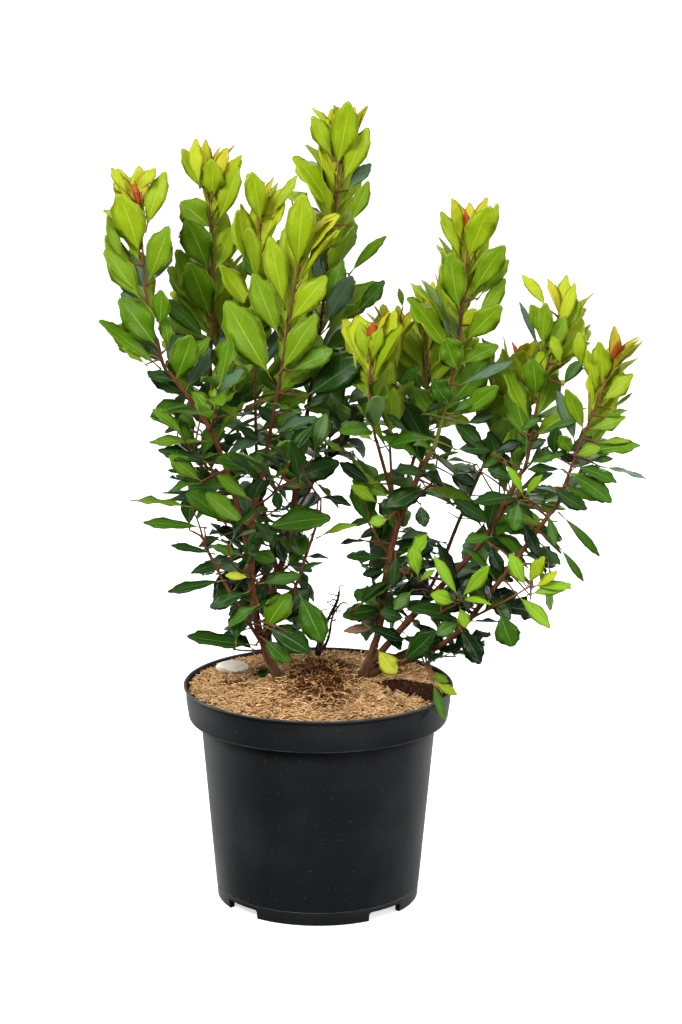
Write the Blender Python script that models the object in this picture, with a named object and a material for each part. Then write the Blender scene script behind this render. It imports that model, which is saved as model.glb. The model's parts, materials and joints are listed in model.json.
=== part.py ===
"""Potted strawberry tree: a young two-stemmed shrub in a black nursery pot.

Every place below is written in millimetres from the pot's axis, with z from the ground that the
pot stands on. One empty carries all the pieces, so that the origin lies under the middle of the
whole plant. The limbs are smooth tapering tubes through a few places each. Each leafy shoot is one
solid: a stem, short twigs and flat leaves set round them in a spiral, kept to the shoot's own space.
"""

import math
import random

import bmesh
import bpy
import numpy as np
from mathutils import Matrix, Vector
from mathutils.bvhtree import BVHTree

# Metres in a millimetre, the pot's axis from the middle of the plant, the gap between touching
# pieces, the length in metres below which an edge is dropped, and the seed of all random draws
MM = 0.001
POT_AXIS = (-51.0, -18.0)
TOUCH = 0.3
MERGE = 1e-7
SEED = 5

# Pot: a collar under the rim, a tapered body, a crease and a foot ring with notches
RIM_RADIUS = 140.0
RIM_LIP = 1.6
POT_HEIGHT = 228.0
COLLAR_FOOT_RADIUS = 134.7
COLLAR_FOOT_Z = 194.0
SHELF_Z = 191.5
BODY_TOP_RADIUS = 122.0
BODY_FOOT_RADIUS = 106.4
CREASE_Z = 14.3
FOOT_RADIUS = 105.0
FOOT_INNER_RADIUS = 99.0
WALL = 2.4
EDGE = 0.8
BASE_UNDER_Z = 11.0
NOTCH_COUNT = 4
NOTCH_HEIGHT = 9.5
NOTCH_WIDTH = 43.0
NOTCH_DEPTH = 20.0
NOTCH_TURN = math.radians(-48.0)
POT_SEGMENTS = 44

# Growing medium and coir mat
SOIL_Z = 214.0
MAT_RADIUS = 129.5
MAT_EDGE_Z = 223.5
MAT_DOME = 10.0
CUT_OVER = 12.0
MAT_RINGS = 4
MAT_SEGMENTS = 32
SLIT_TIP = (50.0, -24.0)
SLIT_FRONT = (140.0, -72.0)
SLIT_BACK = (140.0, -34.0)

# Loose pieces on the mat
PEBBLE_PLACE = (-90.0, 37.0)
PEBBLE_SIZE = (34.0, 22.0, 14.0)
PEBBLE_TURN = 0.25
PEBBLE_SUNK = 0.34
DEAD_TWIG_PLACE = (0.0, 94.0)
DEAD_TWIG_HEIGHT = 72.0
DEAD_TWIG_WAVE = 5.0
DEAD_STEMS = ((10.0, 1.0, 1.7, 0.8), (-2.0, 0.62, 1.3, 0.6))

# Tubes
TRUNK_SIDES = 10
BOUGH_SIDES = 8
STEM_SIDES = 3
TWIG_SIDES = 3
LIMB_STEP = 30.0
STEM_STEP = 32.0
STEM_TIP = 0.9
FLARE = 1.5

# Leaves
GOLDEN_ANGLE = math.radians(137.5)
LEAF_THICKNESS = 0.02
LEAF_WIDTH = 0.5
LOW_LEAF = 66.0
MIDDLE_LEAF = 86.0
TIP_LEAF = 62.0
LOW_LEAF_ANGLE = math.radians(60.0)
TIP_LEAF_ANGLE = math.radians(16.0)
SPUR_LEAF_ANGLE = math.radians(86.0)
SPUR_LENGTH = 120.0
TIP_SHOOT_BARE = 16.0
SIDE_SHOOT_BARE = 34.0
SPUR_LEAF = 1.06
TWIG_LEAF = 0.95
TWIG_LEAVES = 4
TWIG_LENGTH = 44.0
TWIG_ANGLE = math.radians(58.0)
TWIG_RADIUS = 1.1
SPACE_MARGIN = 2.4
RIM_MARGIN = 4.0
HANG = 8.0
LIMB_MARGIN = 1.3
CROSSING_ANGLE = math.radians(38.0)
FIT_TRIES = (
    (1.0, 0.0), (0.9, 0.3), (0.9, -0.3), (0.8, 0.0), (0.75, 0.6), (0.75, -0.6), (0.65, 0.0),
)

# Limbs: name, parent, place along the parent (1 is its tip), places it passes, last its end,
# radius at the start and at the end
LIMBS = (
    ("trunk_left", None, 0.0, ((-33, -11, SOIL_Z - 6), (-46, -10, 246), (-58, -8, 279)), 5.8, 4.4),
    ("trunk_right", None, 0.0, ((41, -8, SOIL_Z - 6), (50, -6, 242), (58, -3, 271)), 5.6, 4.3),
    ("bough_front", "trunk_left", 1.0, ((-69, -18, 345), (-68, -28, 405), (-57, -40, 461)), 4.0, 2.7),
    ("bough_left", "bough_front", 0.47, ((-90, -25, 446), (-112, -30, 504), (-150, -38, 560)), 3.0, 2.1),
    ("bough_left_back", "bough_left", 0.38, ((-104, 12, 480), (-111, 28, 520)), 2.3, 1.9),
    ("bough_back", "trunk_left", 0.8, ((-50, 18, 309), (-33, 42, 369), (-17, 70, 470)), 3.9, 2.8),
    ("bough_inner", "trunk_left", 0.95, ((-28, -14, 325), (-14, -22, 366), (-2, -26, 404)), 1.8, 1.4),
    ("bough_low_left", "trunk_left", 0.72, ((-93, -27, 335), (-116, -38, 384)), 1.9, 1.5),
    ("bough_rear_left", "bough_back", 0.36, ((-62, 72, 410), (-84, 96, 470)), 2.5, 1.9),
    ("bough_right", "trunk_right", 1.0, ((70, -5, 347), (83, -10, 407), (115, -12, 480)), 3.9, 2.7),
    ("bough_right_low", "trunk_right", 0.62, ((103, -5, 308), (168, -20, 386), (205, -30, 460)), 3.7, 2.3),
    ("bough_low_right", "trunk_right", 0.46, ((127, -46, 283), (175, -58, 342), (233, -60, 424)), 3.2, 2.2),
    ("bough_right_back", "bough_right_low", 0.24,
     ((121, 42, 328), (146, 60, 386), (168, 70, 436)), 2.2, 1.6),
    ("bough_centre", "bough_right", 0.62, ((66, -44, 462), (57, -60, 496)), 2.0, 1.6),
    ("bough_rear_right", "bough_right", 0.3, ((84, 58, 400), (104, 92, 462)), 2.4, 1.8),
    ("cut_stub", "trunk_right", 0.5, ((92, 24, 254), (124, 32, 262)), 3.6, 3.9),
)

# Shoots: name, limb that carries it, place along that limb, places the stem passes, last its tip,
# stem radius, leaves round the stem, twigs that branch from it
SHOOTS = (
    ("leaves_front", "bough_front", 1.0, ((-36, -52, 580), (-20, -60, 680)), 2.1, 22, 0),
    ("leaves_left", "bough_left", 1.0, ((-171, -44, 630), (-177, -40, 708)), 1.9, 19, 0),
    ("leaves_left_back", "bough_left_back", 1.0, ((-109, 38, 630), (-113, 46, 726)), 1.9, 20, 0),
    ("leaves_back", "bough_back", 1.0, ((2, 85, 600), (23, 95, 762)), 2.4, 27, 0),
    ("leaves_middle", "bough_front", 0.88, ((-65, 6, 500), (-66, 20, 600), (-63, 26, 694)), 1.9, 19, 0),
    ("leaves_inner", "bough_inner", 1.0, ((2, -38, 444),), 1.4, 9, 2),
    ("leaves_low_left", "bough_low_left", 1.0, ((-144, -50, 408), (-158, -54, 424)), 1.4, 11, 1),
    ("leaves_rear_left", "bough_rear_left", 1.0, ((-104, 110, 550), (-108, 116, 628)), 1.8, 17, 0),
    ("leaves_right", "bough_right", 1.0, ((139, -12, 580), (147, -10, 676)), 2.2, 21, 0),
    ("leaves_right_low", "bough_right_low", 1.0, ((221, -30, 540), (237, -30, 600)), 1.9, 17, 0),
    ("leaves_far_right", "bough_low_right", 1.0, ((259, -60, 490), (284, -60, 556)), 1.9, 17, 0),
    ("leaves_right_back", "bough_right_back", 1.0, ((190, 78, 480), (203, 80, 528)), 1.6, 14, 1),
    ("leaves_centre", "bough_centre", 1.0, ((50, -66, 540), (50, -65, 574)), 1.6, 13, 0),
    ("leaves_rear_right", "bough_rear_right", 1.0, ((114, 112, 520), (120, 116, 572)), 1.7, 14, 0),
    ("leaves_red_tip", "bough_right", 0.8, ((112, 34, 490), (108, 60, 588)), 1.7, 13, 0),
    ("leaves_behind_main", "bough_centre", 0.3, ((72, 10, 490), (76, 26, 578)), 1.6, 12, 0),
    ("leaves_bright_low", "bough_low_right", 0.5, ((200, -88, 352), (219, -98, 376)), 1.4, 9, 1),
    ("leaves_bright_front", "bough_right_low", 0.3, ((122, -58, 322), (137, -84, 350)), 1.3, 9, 1),
    ("leaves_bright_side", "bough_right_low", 0.84, ((198, -62, 438), (201, -76, 464)), 1.3, 9, 1),
    ("leaves_bright_small", "bough_right", 0.42, ((88, -50, 366), (94, -70, 392)), 1.2, 8, 1),
    ("leaves_foot_left", "trunk_left", 0.8, ((-86, -38, 274), (-104, -44, 290)), 1.3, 8, 1),
    ("leaves_foot_front", "bough_front", 0.12, ((-42, -44, 300), (-30, -56, 318)), 1.3, 8, 2),
    ("leaves_low_front", "bough_front", 0.4, ((-84, -62, 366), (-92, -76, 392)), 1.3, 9, 2),
    ("leaves_side_left", "bough_left", 0.36, ((-132, -22, 478), (-158, -18, 502)), 1.4, 10, 1),
    ("leaves_upper_front", "bough_front", 0.78, ((-44, -78, 448), (-30, -92, 480)), 1.4, 10, 1),
    ("leaves_side_front", "bough_left", 0.66, ((-104, -70, 522), (-100, -84, 552)), 1.3, 9, 0),
    ("leaves_inner_low", "bough_back", 0.36, ((-8, 44, 368), (8, 48, 392)), 1.3, 9, 2),
    ("leaves_inner_high", "bough_back", 0.76, ((16, 36, 466), (30, 22, 498)), 1.4, 10, 1),
    ("leaves_back_low", "bough_back", 0.24, ((-60, 62, 336), (-66, 84, 362)), 1.3, 9, 2),
    ("leaves_back_side", "bough_back", 0.62, ((4, 96, 440), (14, 114, 480)), 1.5, 11, 2),
    ("leaves_rear_low", "bough_rear_left", 0.5, ((-104, 66, 422), (-126, 66, 446)), 1.3, 10, 1),
    ("leaves_gap_low", "bough_right", 0.12, ((34, -24, 308), (22, -30, 328)), 1.3, 8, 2),
    ("leaves_gap_high", "bough_right", 0.44, ((52, -22, 400), (40, -26, 432)), 1.3, 9, 2),
    ("leaves_main_front", "bough_right", 0.74, ((112, -58, 452), (118, -76, 486)), 1.4, 10, 1),
    ("leaves_rim", "bough_low_right", 0.3, ((124, -74, 276), (142, -86, 286)), 1.3, 9, 2),
    ("leaves_right_side", "bough_low_right", 0.76, ((242, -68, 376), (264, -74, 400)), 1.4, 10, 1),
    ("leaves_right_rear", "bough_right_low", 0.66, ((186, 22, 402), (204, 40, 436)), 1.4, 11, 2),
    ("leaves_rear_foot", "bough_right", 0.16, ((58, 40, 318), (52, 62, 346)), 1.3, 9, 2),
)

# Finishes: colour, roughness
FINISHES = {
    "pot_plastic": ((0.018, 0.019, 0.021), 0.42),
    "growing_medium": ((0.045, 0.027, 0.016), 0.95),
    "coir": ((0.50, 0.33, 0.18), 0.95),
    "pebble_stone": ((0.62, 0.58, 0.50), 0.7),
    "bark": ((0.16, 0.060, 0.030), 0.75),
    "dead_wood": ((0.055, 0.035, 0.025), 0.9),
    "leaf": ((0.075, 0.19, 0.025), 0.4),
}


def clear_scene():
    for obj in list(bpy.data.objects):
        bpy.data.objects.remove(obj)


def finish_of(name):
    """The material of this name, made the first time it is asked for."""
    if name in bpy.data.materials:
        return bpy.data.materials[name]
    colour, roughness = FINISHES[name]
    material = bpy.data.materials.new(name)
    material.use_nodes = True
    shader = material.node_tree.nodes["Principled BSDF"]
    shader.inputs["Base Color"].default_value = (*colour, 1.0)
    shader.inputs["Roughness"].default_value = roughness
    shader.inputs["Metallic"].default_value = 0.0
    return material


def object_of(bm, name, finish, carrier=None):
    """An object with this mesh, in metres, hung on the carrier."""
    bmesh.ops.recalc_face_normals(bm, faces=bm.faces)
    bmesh.ops.scale(bm, vec=(MM, MM, MM), verts=bm.verts)
    mesh = bpy.data.meshes.new(name)
    bm.to_mesh(mesh)
    bm.free()
    mesh.materials.append(finish_of(finish))
    obj = bpy.data.objects.new(name, mesh)
    bpy.context.scene.collection.objects.link(obj)
    obj.parent = carrier
    return obj


def combine(obj, others, operation):
    """Joins the others to the object or cuts them from it, then removes them.

    The first solver whose result is closed is used.
    """
    group = bpy.data.collections.new("group")
    bpy.context.scene.collection.children.link(group)
    for other in others:
        group.objects.link(other)
    modifier = obj.modifiers.new(operation, "BOOLEAN")
    modifier.operation = operation
    modifier.operand_type = "COLLECTION"
    modifier.collection = group
    for solver in ("EXACT", "MANIFOLD"):
        modifier.solver = solver
        bpy.context.view_layer.update()
        graph = bpy.context.evaluated_depsgraph_get()
        mesh = bpy.data.meshes.new_from_object(obj.evaluated_get(graph))
        if keep_main_body(mesh):
            break
    obj.modifiers.remove(modifier)
    old = obj.data
    obj.data = mesh
    bpy.data.meshes.remove(old)
    for other in others:
        bpy.data.objects.remove(other)
    bpy.data.collections.remove(group)


def islands_of(bm):
    """The sets of points that hang together, largest first."""
    unseen = set(bm.verts)
    islands = []
    while unseen:
        island = {unseen.pop()}
        front = list(island)
        while front:
            vert = front.pop()
            for edge in vert.link_edges:
                other = edge.other_vert(vert)
                if other in unseen:
                    unseen.remove(other)
                    island.add(other)
                    front.append(other)
        islands.append(island)
    return sorted(islands, key=len, reverse=True)


def keep_main_body(mesh):
    """Drops loose scraps and the walls of sealed hollows, leaves triangles, and says if it is closed."""
    bm = bmesh.new()
    bm.from_mesh(mesh)
    bmesh.ops.triangulate(bm, faces=bm.faces)
    bmesh.ops.dissolve_degenerate(bm, edges=bm.edges, dist=MERGE)
    bmesh.ops.triangulate(bm, faces=bm.faces)
    for island in islands_of(bm)[1:]:
        bmesh.ops.delete(bm, geom=list(island), context="VERTS")
    closed = all(len(edge.link_faces) == 2 for edge in bm.edges)
    bm.to_mesh(mesh)
    bm.free()
    return closed


# Paths and tubes


def smooth_path(points, step):
    """Places on a smooth curve through the points, about a step apart."""
    points = [Vector(point) for point in points]
    if len(points) == 2:
        points.insert(1, (points[0] + points[1]) / 2)
    ends = [points[0] * 2 - points[1], *points, points[-1] * 2 - points[-2]]
    path = [points[0]]
    for a, b, c, d in zip(ends, ends[1:], ends[2:], ends[3:]):
        count = max(1, round((c - b).length / step))
        for k in range(1, count + 1):
            t = k / count
            place = b * 2 + (c - a) * t
            place = place + (a * 2 - b * 5 + c * 4 - d) * t**2 + (b * 3 - a - c * 3 + d) * t**3
            path.append(place / 2)
    return path


def along(path, share):
    """The place at this share of the path's length, and the direction there."""
    lengths = [(b - a).length for a, b in zip(path, path[1:])]
    left = share * sum(lengths)
    for a, b, length in zip(path, path[1:], lengths):
        if left <= length or b is path[-1]:
            return a.lerp(b, min(1.0, left / length)), (b - a).normalized()
        left -= length
    return path[-1], (path[-1] - path[-2]).normalized()


def across(direction):
    """Two directions at right angles to this one and to each other."""
    helper = Vector((0, 0, 1)) if abs(direction.z) < 0.9 else Vector((1, 0, 0))
    side = direction.cross(helper).normalized()
    return side, direction.cross(side).normalized()


def sweep(bm, path, radii, sides):
    """A closed tube of this many sides along the path."""
    rings = []
    side = across((path[1] - path[0]).normalized())[0]
    for index, (place, radius) in enumerate(zip(path, radii)):
        before = path[max(0, index - 1)]
        after = path[min(len(path) - 1, index + 1)]
        direction = (after - before).normalized()
        side = (side - direction * side.dot(direction)).normalized()
        other = direction.cross(side)
        ring = []
        for k in range(sides):
            turn = 2 * math.pi * k / sides
            ring.append(bm.verts.new(place + (side * math.cos(turn) + other * math.sin(turn)) * radius))
        rings.append(ring)
    for low, high in zip(rings, rings[1:]):
        for k in range(sides):
            bm.faces.new((low[k - 1], low[k], high[k], high[k - 1]))
    bm.faces.new(reversed(rings[0]))
    bm.faces.new(rings[-1])


def tube(path, radii, sides, name, finish, carrier=None):
    bm = bmesh.new()
    sweep(bm, path, radii, sides)
    return object_of(bm, name, finish, carrier)


def taper(path, start, end):
    """Radii that fall evenly along the path's length."""
    lengths = [0.0]
    for a, b in zip(path, path[1:]):
        lengths.append(lengths[-1] + (b - a).length)
    return [start + (end - start) * length / lengths[-1] for length in lengths]


# Pot, medium, mat and loose pieces


def turned(profile, segments):
    """A solid of revolution from a closed outline of (radius, height) pairs."""
    bm = bmesh.new()
    outline = [bm.verts.new((radius, 0, z)) for radius, z in profile]
    edges = [bm.edges.new((outline[k - 1], outline[k])) for k in range(len(outline))]
    bmesh.ops.spin(
        bm, geom=outline + edges, cent=(0, 0, 0), axis=(0, 0, 1), angle=2 * math.pi,
        steps=segments, use_merge=True,
    )
    bmesh.ops.remove_doubles(bm, verts=bm.verts, dist=0.01)
    bmesh.ops.delete(bm, geom=[edge for edge in bm.edges if not edge.link_faces], context="EDGES")
    return bm


def make_pot(carrier):
    """One outline, turned: up the outside from the foot ring, over the rim and down the inside."""
    outside = [
        (FOOT_RADIUS - EDGE, 0), (FOOT_RADIUS, EDGE), (BODY_FOOT_RADIUS - EDGE / 2, CREASE_Z),
        (BODY_FOOT_RADIUS, CREASE_Z + EDGE), (BODY_TOP_RADIUS, SHELF_Z - 3 * EDGE),
        (BODY_TOP_RADIUS + 2 * EDGE, SHELF_Z), (COLLAR_FOOT_RADIUS - 4 * EDGE, SHELF_Z + EDGE),
        (COLLAR_FOOT_RADIUS, COLLAR_FOOT_Z + 2 * EDGE), (RIM_RADIUS - RIM_LIP, POT_HEIGHT - 5 * EDGE),
        (RIM_RADIUS, POT_HEIGHT - 3 * EDGE), (RIM_RADIUS - EDGE, POT_HEIGHT - EDGE / 2),
        (RIM_RADIUS - 3 * EDGE, POT_HEIGHT),
    ]
    inside = [
        (RIM_RADIUS - RIM_LIP - WALL, POT_HEIGHT - 2 * EDGE),
        (COLLAR_FOOT_RADIUS - WALL, COLLAR_FOOT_Z + WALL + 2 * EDGE),
        (BODY_TOP_RADIUS - WALL, SHELF_Z + WALL - 3 * EDGE),
        (BODY_FOOT_RADIUS - WALL, BASE_UNDER_Z + WALL), (0, BASE_UNDER_Z + WALL),
    ]
    underside = [
        (0, BASE_UNDER_Z), (FOOT_INNER_RADIUS, BASE_UNDER_Z),
        (FOOT_INNER_RADIUS, EDGE), (FOOT_INNER_RADIUS + EDGE, 0),
    ]
    outline = outside + inside + underside
    pot = object_of(turned(outline, POT_SEGMENTS), "pot", "pot_plastic", carrier)
    cutters = []
    for k in range(NOTCH_COUNT):
        turn = NOTCH_TURN + 2 * math.pi * k / NOTCH_COUNT
        bm = bmesh.new()
        bmesh.ops.create_cube(bm, size=1.0)
        bmesh.ops.scale(bm, vec=(NOTCH_DEPTH, NOTCH_WIDTH, 2 * NOTCH_HEIGHT), verts=bm.verts)
        bmesh.ops.translate(bm, vec=(FOOT_RADIUS, 0, 0), verts=bm.verts)
        bmesh.ops.rotate(bm, cent=(0, 0, 0), matrix=Matrix.Rotation(turn, 3, "Z"), verts=bm.verts)
        cutters.append(object_of(bm, f"notch_{k}", "pot_plastic", carrier))
    combine(pot, cutters, "DIFFERENCE")
    pot.data.shade_smooth()
    pot.data.set_sharp_from_angle(angle=math.radians(35))
    return pot


def make_root_ball(carrier):
    """The growing medium fills the pot up to the mat, just clear of the wall."""
    floor = BASE_UNDER_Z + WALL + TOUCH
    bend = COLLAR_FOOT_Z + WALL + 2 * EDGE
    slope = (RIM_RADIUS - RIM_LIP - COLLAR_FOOT_RADIUS) / (POT_HEIGHT - 2 * EDGE - bend)
    outline = (
        (0, floor), (BODY_FOOT_RADIUS - WALL - TOUCH, floor),
        (BODY_TOP_RADIUS - WALL - TOUCH, SHELF_Z + WALL - 3 * EDGE + TOUCH),
        (COLLAR_FOOT_RADIUS - WALL - TOUCH * 1.5, bend + TOUCH),
        (COLLAR_FOOT_RADIUS - WALL - TOUCH * 1.5 + (SOIL_Z - bend) * slope, SOIL_Z), (0, SOIL_Z),
    )
    return object_of(turned(outline, POT_SEGMENTS), "root_ball", "growing_medium", carrier)


def prism(corners, low, high, name, finish, carrier):
    """An upright block on this outline."""
    bm = bmesh.new()
    face = bm.faces.new([bm.verts.new((x, y, low)) for x, y in corners])
    raised = bmesh.ops.extrude_face_region(bm, geom=[face])["geom"]
    verts = [item for item in raised if isinstance(item, bmesh.types.BMVert)]
    bmesh.ops.translate(bm, vec=(0, 0, high - low), verts=verts)
    return object_of(bm, name, finish, carrier)


def mat_height(x, y):
    """Height of the mat's upper face at this place."""
    share = min(1.0, math.hypot(x, y) / MAT_RADIUS)
    return MAT_EDGE_Z + MAT_DOME * (1 - share**2)


def make_mat(carrier, trunks):
    """A domed coir disc with a slit from the right trunk to its edge, and a hole for each trunk."""
    bottom = SOIL_Z + TOUCH
    upper = []
    for k in range(MAT_RINGS + 1):
        radius = MAT_RADIUS * k / MAT_RINGS
        upper.append((radius, mat_height(radius, 0)))
    outline = [(0, bottom), (MAT_RADIUS, bottom), *reversed(upper)]
    mat = object_of(turned(outline, MAT_SEGMENTS), "coir_mat", "coir", carrier)
    slit = (SLIT_TIP, SLIT_FRONT, SLIT_BACK)
    cutters = [prism(slit, bottom - CUT_OVER, POT_HEIGHT + CUT_OVER, "slit", "coir", carrier)]
    for limb in trunks:
        low, direction = along(limb["path"], 0.0)
        radius = limb["radii"][0] + 2 * TOUCH
        path = [low - direction * CUT_OVER, low + direction * (MAT_DOME + 3 * CUT_OVER)]
        cutters.append(tube(path, (radius, radius), TRUNK_SIDES, "hole", "coir", carrier))
    combine(mat, cutters, "DIFFERENCE")
    mat.data.shade_smooth()
    mat.data.set_sharp_from_angle(angle=math.radians(35))
    return mat


def make_pebble(carrier):
    """A rounded stone, cut flat below and leaning with the mat."""
    bm = bmesh.new()
    bmesh.ops.create_icosphere(bm, subdivisions=2, radius=0.5)
    bmesh.ops.scale(bm, vec=PEBBLE_SIZE, verts=bm.verts)
    bmesh.ops.rotate(bm, cent=(0, 0, 0), matrix=Matrix.Rotation(PEBBLE_TURN, 3, "Z"), verts=bm.verts)
    x, y = PEBBLE_PLACE
    slope = -2 * MAT_DOME / MAT_RADIUS**2
    lean = Vector((-slope * x, -slope * y, 1)).normalized()
    turn = Vector((0, 0, 1)).rotation_difference(lean).to_matrix()
    sunk = PEBBLE_SIZE[2] * PEBBLE_SUNK
    bmesh.ops.bisect_plane(
        bm, geom=bm.verts[:] + bm.edges[:] + bm.faces[:], plane_co=(0, 0, -sunk),
        plane_no=(0, 0, -1), clear_outer=True,
    )
    rim = [edge for edge in bm.edges if edge.is_boundary]
    bmesh.ops.holes_fill(bm, edges=rim, sides=0)
    bmesh.ops.translate(bm, vec=(0, 0, sunk), verts=bm.verts)
    bmesh.ops.rotate(bm, cent=(0, 0, 0), matrix=turn, verts=bm.verts)
    # The chord of the domed mat's facets lies a little under the true dome.
    bmesh.ops.translate(bm, vec=(x, y, mat_height(x, y) + 1.5 * TOUCH), verts=bm.verts)
    pebble = object_of(bm, "pebble", "pebble_stone", carrier)
    pebble.data.shade_smooth()
    return pebble


def make_dead_twig(carrier):
    """Two thin twisted dead stems that share a foot, with short bent ends."""
    rng = random.Random(SEED + 91)
    x, y = DEAD_TWIG_PLACE
    foot = Vector((x, y, mat_height(x, y) + 2 * TOUCH))
    pieces = []
    for lean, height, start, end in DEAD_STEMS:
        path = [foot.copy(), foot + Vector((0, 0, 3))]
        for k in range(1, 6):
            share = k / 5
            wave = DEAD_TWIG_WAVE * math.sin(4.5 * share + lean)
            rise = DEAD_TWIG_HEIGHT * height * share
            path.append(foot + Vector((lean * share + wave * share, wave * 0.6, rise)))
        pieces.append(tube(path, taper(path, start, end), 4, "dead_twig", "dead_wood", carrier))
        for share in (0.5, 0.74, 0.96):
            place, direction = along(path, share)
            turn = rng.uniform(0, 2 * math.pi)
            out = Vector((math.cos(turn), math.sin(turn), rng.uniform(0.1, 0.9))).normalized()
            tip = [place, place + out * rng.uniform(7, 14)]
            pieces.append(tube(tip, (0.75, 0.5), TWIG_SIDES, "dead_part", "dead_wood", carrier))
    combine(pieces[0], pieces[1:], "UNION")


# Limbs


def joined(limb, share, places, straight):
    """The places, after one on the limb; a branch from a tip starts clear of it and straight on."""
    place, direction = along(limb["path"], share)
    if share < 1.0:
        return [place, *places]
    return [place + direction * TOUCH, place + direction * straight, *places]


def plan_limbs():
    """The path and the radii of each limb, by name."""
    limbs = {}
    for name, parent, share, places, start, end in LIMBS:
        points = joined(limbs[parent], share, places, LIMB_STEP / 2) if parent else places
        path = smooth_path(points, LIMB_STEP)
        radii = taper(path, start, end)
        if parent is None:
            radii[0] = start * FLARE
        limbs[name] = {"name": name, "share": share, "path": path, "radii": radii}
    return limbs


def limb_sides(name):
    return TRUNK_SIDES if name.startswith("trunk") else BOUGH_SIDES


def near(branch, other):
    """Whether the foot of this branch comes close enough to the other limb to be cut clear of it."""
    reach = max(branch["radii"]) + 2.0
    for a in smooth_path(branch["path"][:3], 4.0):
        for (b, radius), c in zip(zip(other["path"], other["radii"]), other["path"][1:]):
            span = c - b
            t = max(0.0, min(1.0, (a - b).dot(span) / span.length_squared))
            if (a - b - span * t).length < reach + radius:
                return True
    return False


def swollen(limb, carrier):
    """A copy of a limb that is larger by the gap between touching pieces."""
    sides = limb_sides(limb["name"])
    extra = TOUCH * 1.1 / math.cos(math.pi / sides)
    path = list(limb["path"])
    first = (path[1] - path[0]).normalized()
    last = (path[-1] - path[-2]).normalized()
    path = [path[0] - first * extra, *path[1:-1], path[-1] + last * extra]
    return tube(path, [radius + extra for radius in limb["radii"]], sides, "swollen", "bark", carrier)


def cut_level(obj, height):
    """Cuts the foot of a limb flat at this height."""
    bm = bmesh.new()
    bm.from_mesh(obj.data)
    bmesh.ops.bisect_plane(
        bm, geom=bm.verts[:] + bm.edges[:] + bm.faces[:], plane_co=(0, 0, height * MM),
        plane_no=(0, 0, -1), clear_outer=True,
    )
    bmesh.ops.holes_fill(bm, edges=[edge for edge in bm.edges if edge.is_boundary], sides=0)
    bmesh.ops.recalc_face_normals(bm, faces=bm.faces)
    bm.to_mesh(obj.data)
    bm.free()


def make_limbs(limbs, carrier):
    made = []
    for limb in limbs.values():
        obj = tube(limb["path"], limb["radii"], limb_sides(limb["name"]), limb["name"], "bark", carrier)
        if limb["name"].startswith("trunk"):
            cut_level(obj, SOIL_Z + TOUCH)
        elif limb["share"] < 1.0:
            combine(obj, [swollen(other, carrier) for other in made if near(limb, other)], "DIFFERENCE")
        obj.data.shade_smooth()
        obj.data.set_sharp_from_angle(angle=math.radians(50))
        made.append(limb)


# Shoots


def plan_shoots(limbs):
    """The stem's path and radii of each shoot."""
    shoots = []
    for name, parent, share, places, radius, leaves, twigs in SHOOTS:
        points = joined(limbs[parent], share, places, STEM_STEP / 3)
        path = smooth_path(points, STEM_STEP)
        shoots.append({
            "name": name, "share": share, "path": path, "radii": taper(path, radius, STEM_TIP),
            "leaves": leaves, "twig_count": twigs, "twigs": [],
        })
    return shoots


def plan_twigs(shoots, limbs):
    """Twigs that leave each stem in turn; one that nears a limb or another stem is left out."""
    space = Space(shoots, limbs)
    for own, shoot in enumerate(shoots):
        rng = random.Random(SEED * 77 + own)
        first = rng.uniform(0, 2 * math.pi)
        for k in range(shoot["twig_count"] * 3):
            place, direction = along(shoot["path"], rng.uniform(0.45, 0.8))
            side, other = across(direction)
            turn = first + GOLDEN_ANGLE * k
            out = side * math.cos(turn) + other * math.sin(turn)
            way = direction * math.cos(TWIG_ANGLE) + out * math.sin(TWIG_ANGLE)
            end = place + way * TWIG_LENGTH * rng.uniform(0.85, 1.15)
            middle = place.lerp(end, 0.5) - Vector((0, 0, 2.5))
            if space.holds(own, [middle, end]):
                shoot["twigs"].append([place, middle, end])
            if len(shoot["twigs"]) == shoot["twig_count"]:
                break


def length_of(path):
    return sum((b - a).length for a, b in zip(path, path[1:]))


def samples_of(path, spacing):
    """Places along the path, about a spacing apart, as rows of an array."""
    count = max(2, round(length_of(path) / spacing))
    return np.array([tuple(along(path, k / count)[0]) for k in range(count + 1)])


class Space:
    """Says whether a leaf keeps to its shoot's own space and clear of the limbs."""

    def __init__(self, shoots, limbs):
        self.stems = []
        for shoot in shoots:
            paths = [shoot["path"], *shoot["twigs"]]
            self.stems.append(np.concatenate([samples_of(path, 5.0) for path in paths]))
        self.limb_places = []
        self.limb_radii = []
        for limb in limbs.values():
            places = samples_of(limb["path"], 3.0)
            self.limb_places.append(places)
            self.limb_radii.append(np.full(len(places), max(limb["radii"][1:])))
        self.limb_places = np.concatenate(self.limb_places)
        self.limb_radii = np.concatenate(self.limb_radii)

    def holds(self, own, places):
        """Whether all the places are clear of the pot and limbs and nearer to this shoot than to others."""
        places = np.array([tuple(place) for place in places])
        lowest = places[:, 2].min()
        inside = np.hypot(places[:, 0], places[:, 1]).min() < RIM_RADIUS + RIM_MARGIN
        if lowest < POT_HEIGHT - HANG or (inside and lowest < POT_HEIGHT + RIM_MARGIN):
            return False
        far = np.linalg.norm(places[:, None] - self.limb_places[None], axis=2) - self.limb_radii
        if far.min() < LIMB_MARGIN:
            return False
        mine = np.linalg.norm(places[:, None] - self.stems[own][None], axis=2).min(axis=1)
        for index, stem in enumerate(self.stems):
            if index == own:
                continue
            other = np.linalg.norm(places[:, None] - stem[None], axis=2).min(axis=1)
            if (mine + SPACE_MARGIN > other).any():
                return False
        return True


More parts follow.
